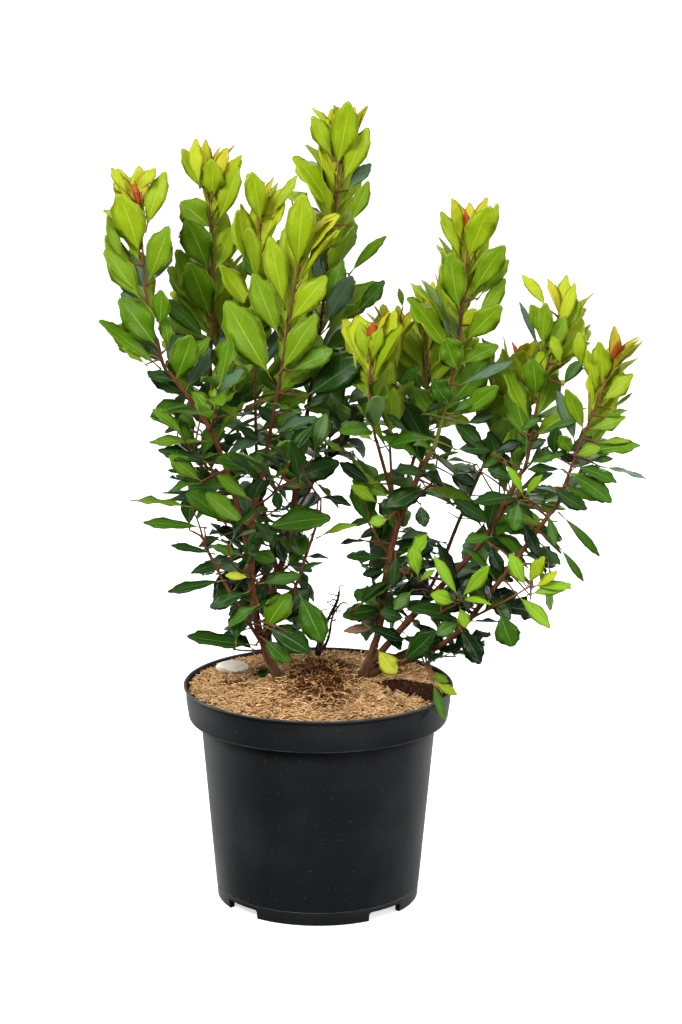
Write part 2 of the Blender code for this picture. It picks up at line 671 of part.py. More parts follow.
def leaf_frame(root, stem_direction, turn, angle, length, arch):
    """The corners of a leaf: root, tip, left, right, upper and lower."""
    side, other = across(stem_direction)
    out = side * math.cos(turn) + other * math.sin(turn)
    along_leaf = (stem_direction * math.cos(angle) + out * math.sin(angle)).normalized()
    wide = stem_direction.cross(out).normalized()
    up = wide.cross(along_leaf).normalized()
    if up.dot(stem_direction) < 0:
        up = -up
    half = length * LEAF_WIDTH / 2
    thick = length * LEAF_THICKNESS / 2
    middle = root + along_leaf * length * 0.55 + up * arch * length
    rib = root + along_leaf * length * 0.36 + up * arch * length * 0.8
    return {
        "root": root, "tip": root + along_leaf * length, "left": middle + wide * half,
        "right": middle - wide * half, "upper": rib + up * thick, "lower": rib - up * thick,
    }


def leaf_places(leaf):
    """Places on the leaf that have to lie in its shoot's space."""
    root, tip, left, right = leaf["root"], leaf["tip"], leaf["left"], leaf["right"]
    rib = (leaf["upper"] + leaf["lower"]) / 2
    places = [root.lerp(rib, 0.5), rib, rib.lerp(tip, 0.5), tip]
    for edge in (left, right):
        places += [root.lerp(edge, share) for share in (0.5, 0.75, 1.0)]
        places += [edge.lerp(tip, share) for share in (0.35, 0.7)]
    return places


def leaf_solid(leaf):
    bm = bmesh.new()
    corners = {key: bm.verts.new(place) for key, place in leaf.items()}
    for face in ("upper", "lower"):
        for edge in ("left", "right"):
            bm.faces.new((corners["root"], corners[edge], corners[face]))
            bm.faces.new((corners["tip"], corners[edge], corners[face]))
    return object_of(bm, "leaf_part", "leaf")


def leaf_size(share, spur):
    """Length and angle from the stem of a leaf at this share of the shoot, from low to tip."""
    if share < 0.5:
        length = LOW_LEAF + (MIDDLE_LEAF - LOW_LEAF) * share / 0.5
    else:
        length = MIDDLE_LEAF + (TIP_LEAF - MIDDLE_LEAF) * (share - 0.5) / 0.5
    low = SPUR_LEAF_ANGLE if spur else LOW_LEAF_ANGLE
    return length, low + (TIP_LEAF_ANGLE - low) * share**0.8


def blade_of(leaf):
    """The leaf without the third next to its root, for a test of whether two blades cross."""
    low = leaf["root"].lerp(leaf["upper"], 0.85)
    places = (low, leaf["left"], leaf["upper"], leaf["tip"], leaf["right"])
    return BVHTree.FromPolygons(places, ((0, 1, 2), (1, 3, 2), (0, 2, 4), (3, 4, 2)))


def fitted_leaf(space, own, blades, spot):
    """The leaf, smaller or turned a little where it would leave its space or cross another, or None."""
    place, direction, turn, angle, length, arch = spot
    for factor, shift in FIT_TRIES:
        leaf = leaf_frame(place, direction, turn + shift, angle, length * factor, arch)
        if not space.holds(own, leaf_places(leaf)):
            continue
        blade = blade_of(leaf)
        if angle < CROSSING_ANGLE or not any(blade.overlap(other) for other in blades):
            blades.append(blade)
            return leaf
    return None


def leaves_of(shoot, own, space):
    """The leaves of one shoot, in a spiral from the foot to the tip of its stem and twigs."""
    rng = random.Random(SEED * 1000 + own)
    total = length_of(shoot["path"])
    foot = TIP_SHOOT_BARE if shoot["share"] == 1.0 else SIDE_SHOOT_BARE
    spur = total < SPUR_LENGTH
    rows = [(shoot["path"], min(0.5, foot / total), shoot["leaves"], SPUR_LEAF if spur else 1.0)]
    rows += [(twig, 0.35, TWIG_LEAVES, TWIG_LEAF) for twig in shoot["twigs"]]
    leaves = []
    blades = []
    for path, start, count, size in rows:
        first = rng.uniform(0, 2 * math.pi)
        for k in range(count):
            share = k / (count - 1)
            place, direction = along(path, start + (0.985 - start) * share)
            length, angle = leaf_size(share, spur)
            length *= size * rng.uniform(0.9, 1.1)
            angle *= rng.uniform(0.88, 1.12)
            turn = first + GOLDEN_ANGLE * k + rng.uniform(-0.2, 0.2)
            spot = (place, direction, turn, angle, length, rng.uniform(0.0, 0.07))
            leaf = fitted_leaf(space, own, blades, spot)
            if leaf:
                leaves.append(leaf)
    return leaves


def make_shoots(limbs, carrier):
    shoots = plan_shoots(limbs)
    plan_twigs(shoots, limbs)
    space = Space(shoots, limbs)
    for own, shoot in enumerate(shoots):
        stem = tube(shoot["path"], shoot["radii"], STEM_SIDES, shoot["name"], "leaf")
        if shoot["share"] < 1.0:
            cutters = [swollen(limb, None) for limb in limbs.values() if near(shoot, limb)]
            combine(stem, cutters, "DIFFERENCE")
        parts = [leaf_solid(leaf) for leaf in leaves_of(shoot, own, space)]
        for twig in shoot["twigs"]:
            parts.append(tube(twig, taper(twig, TWIG_RADIUS, 0.7), TWIG_SIDES, "twig_part", "leaf"))
        combine(stem, parts, "UNION")
        stem.parent = carrier


def main():
    clear_scene()
    carrier = bpy.data.objects.new("plant_origin", None)
    bpy.context.scene.collection.objects.link(carrier)
    carrier.location = (POT_AXIS[0] * MM, POT_AXIS[1] * MM, 0)
    make_pot(carrier)
    make_root_ball(carrier)
    limbs = plan_limbs()
    make_mat(carrier, [limbs["trunk_left"], limbs["trunk_right"]])
    make_pebble(carrier)
    make_dead_twig(carrier)
    make_limbs(limbs, carrier)
    make_shoots(limbs, carrier)


main()
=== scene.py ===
"""Potted strawberry tree: the looks of a young two-stemmed shrub in a black nursery pot.

The file is laid out as an add-on and run as a script. Places are in millimetres from the pot's axis,
with z from the ground, until a mesh is made of them in metres.
"""

import json
import math
import random

import bpy
import numpy as np
from bpy.props import FloatProperty, FloatVectorProperty, IntProperty, PointerProperty
from mathutils import Matrix, Vector, noise
from mathutils.bvhtree import BVHTree
from mathutils.kdtree import KDTree

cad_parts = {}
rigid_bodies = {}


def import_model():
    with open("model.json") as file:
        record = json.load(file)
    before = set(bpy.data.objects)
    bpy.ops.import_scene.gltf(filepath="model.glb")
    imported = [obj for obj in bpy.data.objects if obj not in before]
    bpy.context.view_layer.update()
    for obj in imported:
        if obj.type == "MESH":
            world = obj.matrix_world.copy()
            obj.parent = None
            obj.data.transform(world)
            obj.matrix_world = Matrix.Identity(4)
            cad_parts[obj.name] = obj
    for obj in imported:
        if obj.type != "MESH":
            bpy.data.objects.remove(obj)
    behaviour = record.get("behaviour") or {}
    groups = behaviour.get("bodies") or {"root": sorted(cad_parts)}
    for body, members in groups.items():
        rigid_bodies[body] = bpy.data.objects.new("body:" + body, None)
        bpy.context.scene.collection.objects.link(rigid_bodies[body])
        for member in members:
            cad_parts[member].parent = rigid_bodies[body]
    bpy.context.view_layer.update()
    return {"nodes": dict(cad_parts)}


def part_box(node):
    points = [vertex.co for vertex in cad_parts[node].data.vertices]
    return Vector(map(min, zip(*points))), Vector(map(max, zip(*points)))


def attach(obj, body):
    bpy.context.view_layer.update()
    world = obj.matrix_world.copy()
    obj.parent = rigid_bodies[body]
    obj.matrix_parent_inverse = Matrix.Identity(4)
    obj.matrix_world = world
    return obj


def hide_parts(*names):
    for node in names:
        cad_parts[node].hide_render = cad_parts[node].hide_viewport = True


bl_info = {
    "name": "Potted strawberry tree",
    "version": (1, 0, 0),
    "blender": (4, 5, 0),
    "location": "3D View > Sidebar > Plant",
    "description": "Pot, coir mat, bark, twigs and leaves of a young shrub, round its solid frame",
    "category": "Add Mesh",
}

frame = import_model()
BODY = "root"

# Metres in a millimetre, the pot's axis in millimetres and the seed of all random draws
MM = 0.001
POT_LOW, POT_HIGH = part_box("pot")
AXIS = (POT_LOW + POT_HIGH) / 2 / MM
AXIS.z = 0.0
SEED = 5

# Pot: a collar under the rim, a tapered body, a crease and a foot ring with notches
RIM_LIP = 1.6
POT_HEIGHT = 228.0
COLLAR_FOOT_RADIUS = 134.7
COLLAR_FOOT_Z = 194.0
SHELF_Z = 191.5
BODY_TOP_RADIUS = 122.0
BODY_FOOT_RADIUS = 106.4
CREASE_Z = 14.3
FOOT_RADIUS = 105.0
FOOT_INNER_RADIUS = 99.0
WALL = 2.4
EDGE = 0.8
BASE_UNDER_Z = 11.0
NOTCH_COUNT = 4
NOTCH_HEIGHT = 9.5
NOTCH_WIDTH = 43.0
NOTCH_DEPTH = 20.0
NOTCH_TURN = math.radians(-48.0)
POT_SEGMENTS = 160
POT_HUB = 12.0

# Growing medium and coir mat; the mat is turned from a small hub outward, and its slit is a wedge
SOIL_Z = 214.0
MAT_HUB = 4.0
MAT_RADIUS = 130.5
MAT_EDGE_Z = 223.5
MAT_DOME = 10.0
MAT_SEGMENTS = 128
MAT_RINGS = 40
SLIT_TIP = (50.0, -24.0)
SLIT_FRONT = (140.0, -72.0)
SLIT_BACK = (140.0, -34.0)

# The brown mound of fibres between the stems, partly darkened as painted shade, and the patch of dark fibres
# by the pebble that is painted shade
MOUND_PLACE = (2.0, -16.0)
MOUND_SIZE = (36.0, 84.0)
MOUND_RISE = 6.0
SHADE_PATCH_PLACE = (-88.0, -10.0)
SHADE_PATCH_SIZE = (15.0, 7.0)

# How far the mat is raised behind its slit
FLAP_RISE = 11.0

# The tones of fibres on the mound, whose dark ones are partly painted shade, and in the patch of painted
# shade by the pebble
MOUND_FIBRES = ("brown", "brown", "dark", "dark", "tan")
SHADE_PATCH_FIBRES = ("dark", "brown")

# Where the stems come through the mat, and how far round them it is bare
TRUNK_FEET = ((-36, -11), (43, -8))
TRUNK_HOLE = 7.0

# A patch of moss by the left stem, and crumbs of medium in the slit and round the mat
MOSS_PLACE = (-57.0, 12.0)
MOSS_SIZE = (11.0, 20.0)
MOSS_COUNT = 520
CRUMB_COUNT = 900

# How far from the pot's axis the middles of loose fibres and crumbs lie, and how far their ends may
FIBRE_SPREAD = 132.5
FIBRE_LIMIT = 135.6
CRUMB_SPREAD = 135.5
CRUMB_LIMIT = 135.0

# The pebble and the dead twig on the mat
PEBBLE_PLACE = (-90.0, 37.0)
PEBBLE_SIZE = (34.0, 22.0, 14.0)
PEBBLE_TURN = 0.25
PEBBLE_RISE = 5.4
DEAD_TWIG_PLACE = (0.0, 94.0)
DEAD_TWIG_HEIGHT = 72.0
DEAD_TWIG_WAVE = 7.0

# Stems of the dead twig: how far each leans, height as a share, radius at its foot and at its tip;
# and where the claws stand along each
DEAD_STEMS = (
    (16.0, 1.0, 2.6, 1.3), (6.0, 0.7, 2.0, 1.1), (-8.0, 0.36, 1.7, 0.9), (26.0, 0.84, 1.7, 0.9),
)
DEAD_CLAWS = (0.42, 0.7, 0.86, 0.94, 1.0)

# Limbs and stems: spacing of the places on their paths, sides, the length that the bark's map spans
LIMB_STEP = 30.0
STEM_STEP = 32.0
STEM_TIP = 0.9
FLARE = 1.5
BARK_SIDES = 20
BARK_STEP = 2.0
BARK_LENGTH = 400.0
TWIG_SIDES = 7
NODE_SPACING = 9.0
TWIG_STEP = 4.0

# The olive-green stretch of young bark on the tall right stem
GREEN_PLACE = (122.0, -12.0, 500.0)
GREEN_REACH = 38.0

# Leaves
GOLDEN_ANGLE = math.radians(137.5)
BLADE_COLUMNS = 4
LEAF_THICKNESS = 0.45
PETIOLE_SHARE = 0.1
PETIOLE_RADIUS = 0.75
TWIG_LENGTH = 50.0
TWIG_ANGLE = math.radians(60.0)
TWIG_RADIUS = 1.2
TWIG_LEAVES = 7
TWIG_START = 0.3
SPARE_TWIGS = 2

# How much a tall shoot outgrows its solid, and how far below its tip its spiral of leaves ends
TIP_GROWTH = 15.0
CROWN_DROP = 28.0
ROW_END = 0.985

# Bare lengths at the foot of a shoot that grows on from a tip, of a side shoot and of a bough, and
# the spacing of the leaves on a bough
SHOOT_BARE = 10.0
SIDE_SHOOT_BARE = 18.0
BOUGH_BARE = 22.0
BOUGH_SPACING = 7.0

# Leaves for each one that the solid has, on a tall shoot and on a spray
CROWN_FULLNESS = 2.2
SPRAY_FULLNESS = 1.8

# Degrees between leaf and stem at a shoot's foot and at its tip
CROWN_ANGLES = (66, 22)
SPRAY_ANGLES = (86, 36)
BOUGH_ANGLES = (82, 64)

# Room that leaves keep from limbs, from other shoots and over the rim; a leaf closer to its stem
# than the angle may cross others, and a cell is the room in which leaves are compared
LIMB_MARGIN = 1.0
SPACE_SLACK = 14.0
LOWEST_LEAF = 30.0
CROSSING_ANGLE = math.radians(36.0)
CELL = 70.0
LIMB_SAMPLE = 3.0
STEM_SAMPLE = 5.0

# Where the crown is open as seen from the front: left, right, low and high, in millimetres from the
# pot's axis and over the height of the middle of the view
VIEW_HEIGHT = 300.0
CLEARINGS = (
    (2, 34, 18, 108), (4, 36, 20, 58), (-2, 30, -34, 20), (12, 32, 128, 160), (-400, -232, 281, 480),
    (-400, -160, 145, 190), (-400, -178, 190, 262), (-400, -166, 110, 145), (-400, -136, 88, 110),
    (-400, -124, 18, 88), (-400, -108, -40, 18), (-400, -72, -140, -40), (-165, -130, 395, 480),
    (66, 120, 366, 440), (104, 132, 410, 432), (56, 100, 440, 540), (38, 56, 350, 380),
    (40, 90, -75, -44), (337, 400, 235, 300), (284, 300, 300, 330), (184, 224, 292, 330),
    (-6, 40, -75, -30), (114, 140, 84, 110), (126, 146, 134, 148), (168, 186, 134, 148),
    (48, 72, 157, 176), (138, 400, -150, -52), (196, 400, -150, -16), (250, 400, -150, 26),
    (256, 400, 26, 112), (328, 400, 112, 235), (196, 212, 330, 440), (-54, -36, -75, -46),
)

# A single leaf that is further from a limb gets a twig
CARRIED = 8.0

# Leaves that lean to the back are this much longer
BACK_GROWTH = 1.16
BACK_LEAN = 0.7

# A leaf in front of a limb would hide it from the front, and only a few may
COVER_REACH = 6.0
COVER_SHARE = 0.42

# What is tried where a leaf doesn't fit: its length as a share, and a turn round the stem
FIT_TRIES = (
    (1.0, 0.0), (0.96, 0.4), (0.96, -0.4), (0.92, 0.8), (0.92, -0.8), (0.9, 1.5), (0.9, -1.5),
    (0.86, 2.3), (0.86, -2.3), (0.76, 0.0), (0.66, 0.5),
)

# The map that each piece brings for its looks
UV_NAME = "OFBake"

# Map of a leaf: the middle of its upper face and of its underside, and half its width there
UPPER_MIDDLE = 0.25
UNDER_MIDDLE = 0.75
UV_HALF = 0.23

# Finish of a leaf: pairs of side veins, roughness and gloss of its underside
VEIN_PAIRS = 11.0
UNDER_ROUGHNESS = 0.6
UNDER_GLOSS = 0.15

# Limbs: name, parent, place along the parent (1 is its tip), places it passes, last its end,
# radius at the start and at the end
LIMBS = (
    ("trunk_left", None, 0.0, ((-33, -11, SOIL_Z - 6), (-46, -10, 246), (-58, -8, 279)), 5.8, 4.4),
    ("trunk_right", None, 0.0, ((41, -8, SOIL_Z - 6), (50, -6, 242), (58, -3, 271)), 5.6, 4.3),
    ("bough_front", "trunk_left", 1.0, ((-69, -18, 345), (-68, -28, 405), (-57, -40, 461)), 4.0, 2.7),
    ("bough_left", "bough_front", 0.47, ((-90, -25, 446), (-112, -30, 504), (-150, -38, 560)), 3.0, 2.1),
    ("bough_left_back", "bough_left", 0.38, ((-104, 12, 480), (-111, 28, 520)), 2.3, 1.9),
    ("bough_back", "trunk_left", 0.8, ((-50, 18, 309), (-33, 42, 369), (-17, 70, 470)), 3.9, 2.8),
    ("bough_inner", "trunk_left", 0.95, ((-28, -14, 325), (-14, -22, 366), (-2, -26, 404)), 1.8, 1.4),
    ("bough_low_left", "trunk_left", 0.72, ((-93, -27, 335), (-116, -38, 384)), 1.9, 1.5),
    ("bough_rear_left", "bough_back", 0.36, ((-62, 72, 410), (-84, 96, 470)), 2.5, 1.9),
    ("bough_right", "trunk_right", 1.0, ((70, -5, 347), (83, -10, 407), (115, -12, 480)), 3.9, 2.7),
    ("bough_right_low", "trunk_right", 0.62, ((103, -5, 308), (168, -20, 386), (205, -30, 460)), 3.7, 2.3),
    ("bough_low_right", "trunk_right", 0.46, ((127, -46, 283), (175, -58, 342), (233, -60, 424)), 3.2, 2.2),
    ("bough_right_back", "bough_right_low", 0.24,
     ((121, 42, 328), (146, 60, 386), (168, 70, 436)), 2.2, 1.6),
    ("bough_centre", "bough_right", 0.62, ((66, -44, 462), (57, -60, 496)), 2.0, 1.6),
    ("bough_rear_right", "bough_right", 0.3, ((84, 58, 400), (104, 92, 462)), 2.4, 1.8),
    ("cut_stub", "trunk_right", 0.5, ((92, 24, 254), (124, 32, 262)), 3.6, 3.9),
)

# Shoots: name, limb that carries it, place along that limb, places the stem passes, last its tip,
# stem radius, leaves round the stem, twigs that branch from it
SHOOTS = (
    ("leaves_front", "bough_front", 1.0, ((-36, -52, 580), (-20, -60, 680)), 2.1, 22, 0),
    ("leaves_left", "bough_left", 1.0, ((-171, -44, 630), (-177, -40, 708)), 1.9, 19, 0),
    ("leaves_left_back", "bough_left_back", 1.0, ((-109, 38, 630), (-113, 46, 726)), 1.9, 20, 0),
    ("leaves_back", "bough_back", 1.0, ((2, 85, 600), (23, 95, 762)), 2.4, 27, 0),
    ("leaves_middle", "bough_front", 0.88, ((-65, 6, 500), (-66, 20, 600), (-63, 26, 694)), 1.9, 19, 0),
    ("leaves_inner", "bough_inner", 1.0, ((2, -38, 444),), 1.4, 9, 2),
    ("leaves_low_left", "bough_low_left", 1.0, ((-144, -50, 408), (-158, -54, 424)), 1.4, 11, 1),
    ("leaves_rear_left", "bough_rear_left", 1.0, ((-104, 110, 550), (-108, 116, 628)), 1.8, 17, 0),
    ("leaves_right", "bough_right", 1.0, ((139, -12, 580), (147, -10, 676)), 2.2, 21, 0),
    ("leaves_right_low", "bough_right_low", 1.0, ((221, -30, 540), (237, -30, 600)), 1.9, 17, 0),
    ("leaves_far_right", "bough_low_right", 1.0, ((259, -60, 490), (284, -60, 556)), 1.9, 17, 0),
    ("leaves_right_back", "bough_right_back", 1.0, ((190, 78, 480), (203, 80, 528)), 1.6, 14, 1),
    ("leaves_centre", "bough_centre", 1.0, ((50, -66, 540), (50, -65, 574)), 1.6, 13, 0),
    ("leaves_rear_right", "bough_rear_right", 1.0, ((114, 112, 520), (120, 116, 572)), 1.7, 14, 0),
    ("leaves_red_tip", "bough_right", 0.8, ((112, 34, 490), (108, 60, 574)), 1.7, 13, 0),
    ("leaves_behind_main", "bough_centre", 0.3, ((72, 10, 490), (76, 26, 562)), 1.6, 12, 0),
    ("leaves_bright_low", "bough_low_right", 0.5, ((186, -86, 338), (209, -98, 356)), 1.4, 9, 1),
    ("leaves_bright_front", "bough_right_low", 0.3, ((122, -58, 318), (137, -82, 340)), 1.3, 9, 1),
    ("leaves_bright_side", "bough_right_low", 0.84, ((198, -62, 438), (201, -76, 464)), 1.3, 9, 1),
    ("leaves_bright_small", "bough_right", 0.42, ((88, -46, 356), (93, -66, 370)), 1.2, 8, 1),
    ("leaves_foot_left", "trunk_left", 0.8, ((-86, -38, 274), (-104, -44, 290)), 1.3, 8, 1),
    ("leaves_foot_front", "bough_front", 0.12, ((-42, -44, 300), (-30, -56, 318)), 1.3, 8, 2),
    ("leaves_low_front", "bough_front", 0.4, ((-84, -62, 366), (-92, -76, 392)), 1.3, 9, 2),
    ("leaves_side_left", "bough_left", 0.36, ((-132, -22, 478), (-158, -18, 502)), 1.4, 10, 1),
    ("leaves_upper_front", "bough_front", 0.78, ((-44, -78, 448), (-30, -92, 480)), 1.4, 10, 1),
    ("leaves_side_front", "bough_left", 0.66, ((-104, -70, 522), (-100, -84, 552)), 1.3, 9, 0),
    ("leaves_inner_low", "bough_back", 0.36, ((-8, 44, 368), (8, 48, 392)), 1.3, 9, 2),
    ("leaves_inner_high", "bough_back", 0.76, ((16, 36, 466), (30, 22, 498)), 1.4, 10, 1),
    ("leaves_back_low", "bough_back", 0.24, ((-60, 62, 336), (-66, 84, 362)), 1.3, 9, 2),
    ("leaves_back_side", "bough_back", 0.62, ((4, 96, 440), (14, 114, 480)), 1.5, 11, 2),
    ("leaves_rear_low", "bough_rear_left", 0.5, ((-104, 66, 422), (-126, 66, 446)), 1.3, 10, 1),
    ("leaves_gap_low", "bough_right", 0.12, ((34, -24, 308), (22, -30, 328)), 1.3, 8, 2),
    ("leaves_gap_high", "bough_right", 0.44, ((52, -22, 400), (40, -26, 432)), 1.3, 9, 2),
    ("leaves_main_front", "bough_right", 0.74, ((112, -58, 452), (118, -76, 486)), 1.4, 10, 1),
    ("leaves_rim", "bough_low_right", 0.3, ((124, -74, 276), (142, -86, 286)), 1.3, 9, 2),
    ("leaves_right_side", "bough_low_right", 0.76, ((242, -68, 376), (264, -74, 400)), 1.4, 10, 1),
    ("leaves_right_rear", "bough_right_low", 0.66, ((186, 22, 402), (204, 40, 436)), 1.4, 11, 2),
    ("leaves_rear_foot", "bough_right", 0.16, ((58, 40, 318), (52, 62, 346)), 1.3, 9, 2),
)

# Shoots with a stem as thick as this are tall and end in new growth; the bright sprays are named so
CROWN_STEM = 1.6
BRIGHT_NAME = "leaves_bright"


def srgb(red, green, blue):
    """The linear colour of these 0 to 255 values."""
    shares = (value / 255 for value in (red, green, blue))
    return tuple(v / 12.92 if v <= 0.04045 else ((v + 0.055) / 1.055) ** 2.4 for v in shares)


# Ages of leaves: rows of the blade's blank, depth of its teeth, bluntness of its outline, slot
AGES = {"young": (10, 0.04, 0.86, "young_leaf"), "old": (12, 0.045, 0.76, "mature_leaf")}

# Tones of leaves: upper face, underside, veins and margin in 0 to 255 values, share of the margin's
# colour, where the margin starts, roughness and gloss of the upper face, age
TONES = {
    "flush": ((186, 186, 28), (190, 178, 44), (210, 190, 70), (206, 56, 34),
              0.95, 0.8, 0.5, 0.25, "young"),
    "tip": ((174, 190, 16), (176, 188, 34), (206, 210, 70), (212, 120, 40),
            0.6, 0.93, 0.5, 0.25, "young"),
    "lime": ((148, 176, 10), (154, 178, 30), (190, 202, 60), (212, 200, 66),
             0.75, 0.9, 0.46, 0.25, "young"),
    "fresh": ((114, 150, 8), (128, 158, 36), (162, 188, 54), (194, 202, 66),
              0.75, 0.9, 0.44, 0.26, "young"),
    "bright": ((124, 168, 18), (140, 178, 44), (176, 208, 70), (180, 206, 60),
               0.4, 0.9, 0.42, 0.26, "young"),
    # sheen: the grey-green of a painted sheen, as of gloss seen from the edge or from behind
    "sheen": ((82, 114, 80), (126, 150, 128), (126, 156, 116), (132, 158, 106),
              0.4, 0.92, 0.4, 0.32, "old"),
    "mid": ((86, 126, 6), (116, 154, 62), (136, 178, 58), (176, 194, 62),
            0.7, 0.9, 0.34, 0.24, "old"),
    "green": ((56, 98, 8), (106, 142, 78), (108, 152, 60), (136, 162, 60),
              0.65, 0.91, 0.3, 0.27, "old"),
    # dark and deep: the old leaves' dark green, made darker still as painted shade for leaves low and deep
    # in the crown
    "dark": ((27, 61, 3), (98, 132, 84), (82, 126, 56), (98, 126, 56),
             0.55, 0.92, 0.28, 0.3, "old"),
    "deep": ((12, 35, 3), (88, 120, 84), (66, 104, 60), (76, 102, 54),
             0.45, 0.92, 0.26, 0.3, "old"),
    "yellowed": ((192, 204, 50), (196, 202, 80), (226, 222, 120), (200, 180, 70),
                 0.4, 0.9, 0.5, 0.19, "old"),
    "dry": ((146, 114, 86), (160, 136, 112), (112, 74, 48), (88, 54, 36),
            0.5, 0.85, 0.7, 0.13, "old"),
    "red_bud": ((196, 92, 40), (200, 88, 46), (214, 130, 60), (180, 34, 28),
                0.75, 0.76, 0.5, 0.25, "young"),
}


# Settings that a user would change


def length_setting(name, description, default, least=0.01):
    return FloatProperty(name=name, description=description, default=default, min=least, unit="LENGTH")


def colour_setting(name, description, default):
    return FloatVectorProperty(
        name=name, description=description, default=default, size=3, min=0, max=1, subtype="COLOR",
    )


class PotSettings(bpy.types.PropertyGroup):
    rim_radius: length_setting("Rim radius", "Radius of the rim's outer edge", POT_HIGH.x - AXIS.x * MM)
    height: length_setting("Height", "Height of the rim over the ground", POT_HIGH.z)
    colour: colour_setting("Colour", "Colour of the moulded plastic", srgb(27, 28, 30))


class MatSettings(bpy.types.PropertyGroup):
    fibre_count: IntProperty(
        name="Fibres", description="Number of loose coir fibres on the mat", default=9000, min=0, max=12000,
    )
    fibre_length: length_setting("Fibre length", "Usual length of a loose fibre", 0.0085, 0.001)
    colour: colour_setting("Colour", "Colour of most of the coir", srgb(252, 198, 130))


class BarkSettings(bpy.types.PropertyGroup):
    relief: FloatProperty(
        name="Relief", description="Depth of the bark's ridges as a share of the radius",
        default=0.1, min=0, max=0.4, subtype="FACTOR",
    )
    colour: colour_setting("Colour", "Colour of the bark's ridges", srgb(124, 74, 38))
    groove_colour: colour_setting("Groove colour", "Colour between the bark's ridges", srgb(46, 28, 19))


class LeafSettings(bpy.types.PropertyGroup):
    tip_length: length_setting("Tip leaf", "Length of the upright leaves at a shoot's tip", 0.070)
    young_length: length_setting("Young leaf", "Length of the longest leaves on a tall shoot", 0.088)
    old_length: length_setting("Old leaf", "Length of the dark leaves low in the crown", 0.064)
    width: FloatProperty(
        name="Width", description="Width of a leaf as a share of its length",
        default=0.45, min=0.1, max=1, subtype="FACTOR",
    )


class StageSettings(bpy.types.PropertyGroup):
    distance: length_setting("Camera distance", "From the camera to the middle of the view", 3.0, 0.5)
    elevation: FloatProperty(
        name="Camera elevation", description="How far the camera looks down",
        default=math.radians(14.778), subtype="ANGLE",
    )
    sky: FloatProperty(
        name="Sky", description="Brightness of the sky over the plant", default=0.95, min=0,
    )
    key: FloatProperty(
        name="Key light", description="Power of the large soft light at the upper left",
        default=106.0, min=0, unit="POWER",
    )


class PlantSettings(bpy.types.PropertyGroup):
    pot: PointerProperty(type=PotSettings, name="Pot", description="The nursery pot")
    mat: PointerProperty(type=MatSettings, name="Mat", description="The coir mat")
    bark: PointerProperty(type=BarkSettings, name="Bark", description="Trunk and boughs")
    leaf: PointerProperty(type=LeafSettings, name="Leaves", description="The foliage")
    stage: PointerProperty(type=StageSettings, name="Stage", description="Floor and light")


def settings():
    return bpy.context.scene.plant_settings


# Materials


class Nodes:
    """Puts nodes into a tree one by one."""

    def __init__(self, tree):
        self.tree = tree

    def fill(self, node, inputs):
        """Gives the node's inputs a value or the socket of another node."""
        for key, value in inputs.items():
            if isinstance(value, bpy.types.NodeSocket):
                self.tree.links.new(value, node.inputs[key])
            else:
                node.inputs[key].default_value = value

    def node(self, kind, inputs=None, **values):
        node = self.tree.nodes.new(kind)
        for key, value in values.items():
            setattr(node, key, value)
        self.fill(node, inputs or {})
        return node

    def put(self, kind, inputs=None, **values):
        """Adds a node and gives its first output."""
        return self.node(kind, inputs, **values).outputs[0]

    def math(self, operation, first, second=0.0):
        return self.put("ShaderNodeMath", {0: first, 1: second}, operation=operation)

    def plus(self, first, second):
        return self.math("ADD", first, second)

    def minus(self, first, second):
        return self.math("SUBTRACT", first, second)

    def times(self, first, second):
        return self.math("MULTIPLY", first, second)

    def step(self, value, low, high, start=0.0, end=1.0):
        """A smooth rise from start, where the value is low, to end, where it is high."""
        sockets = {"Value": value, "From Min": low, "From Max": high, "To Min": start, "To Max": end}
        return self.put("ShaderNodeMapRange", sockets, interpolation_type="SMOOTHSTEP")

    def parts(self, vector):
        """The three parts of a place."""
        return self.node("ShaderNodeSeparateXYZ", {0: vector}).outputs


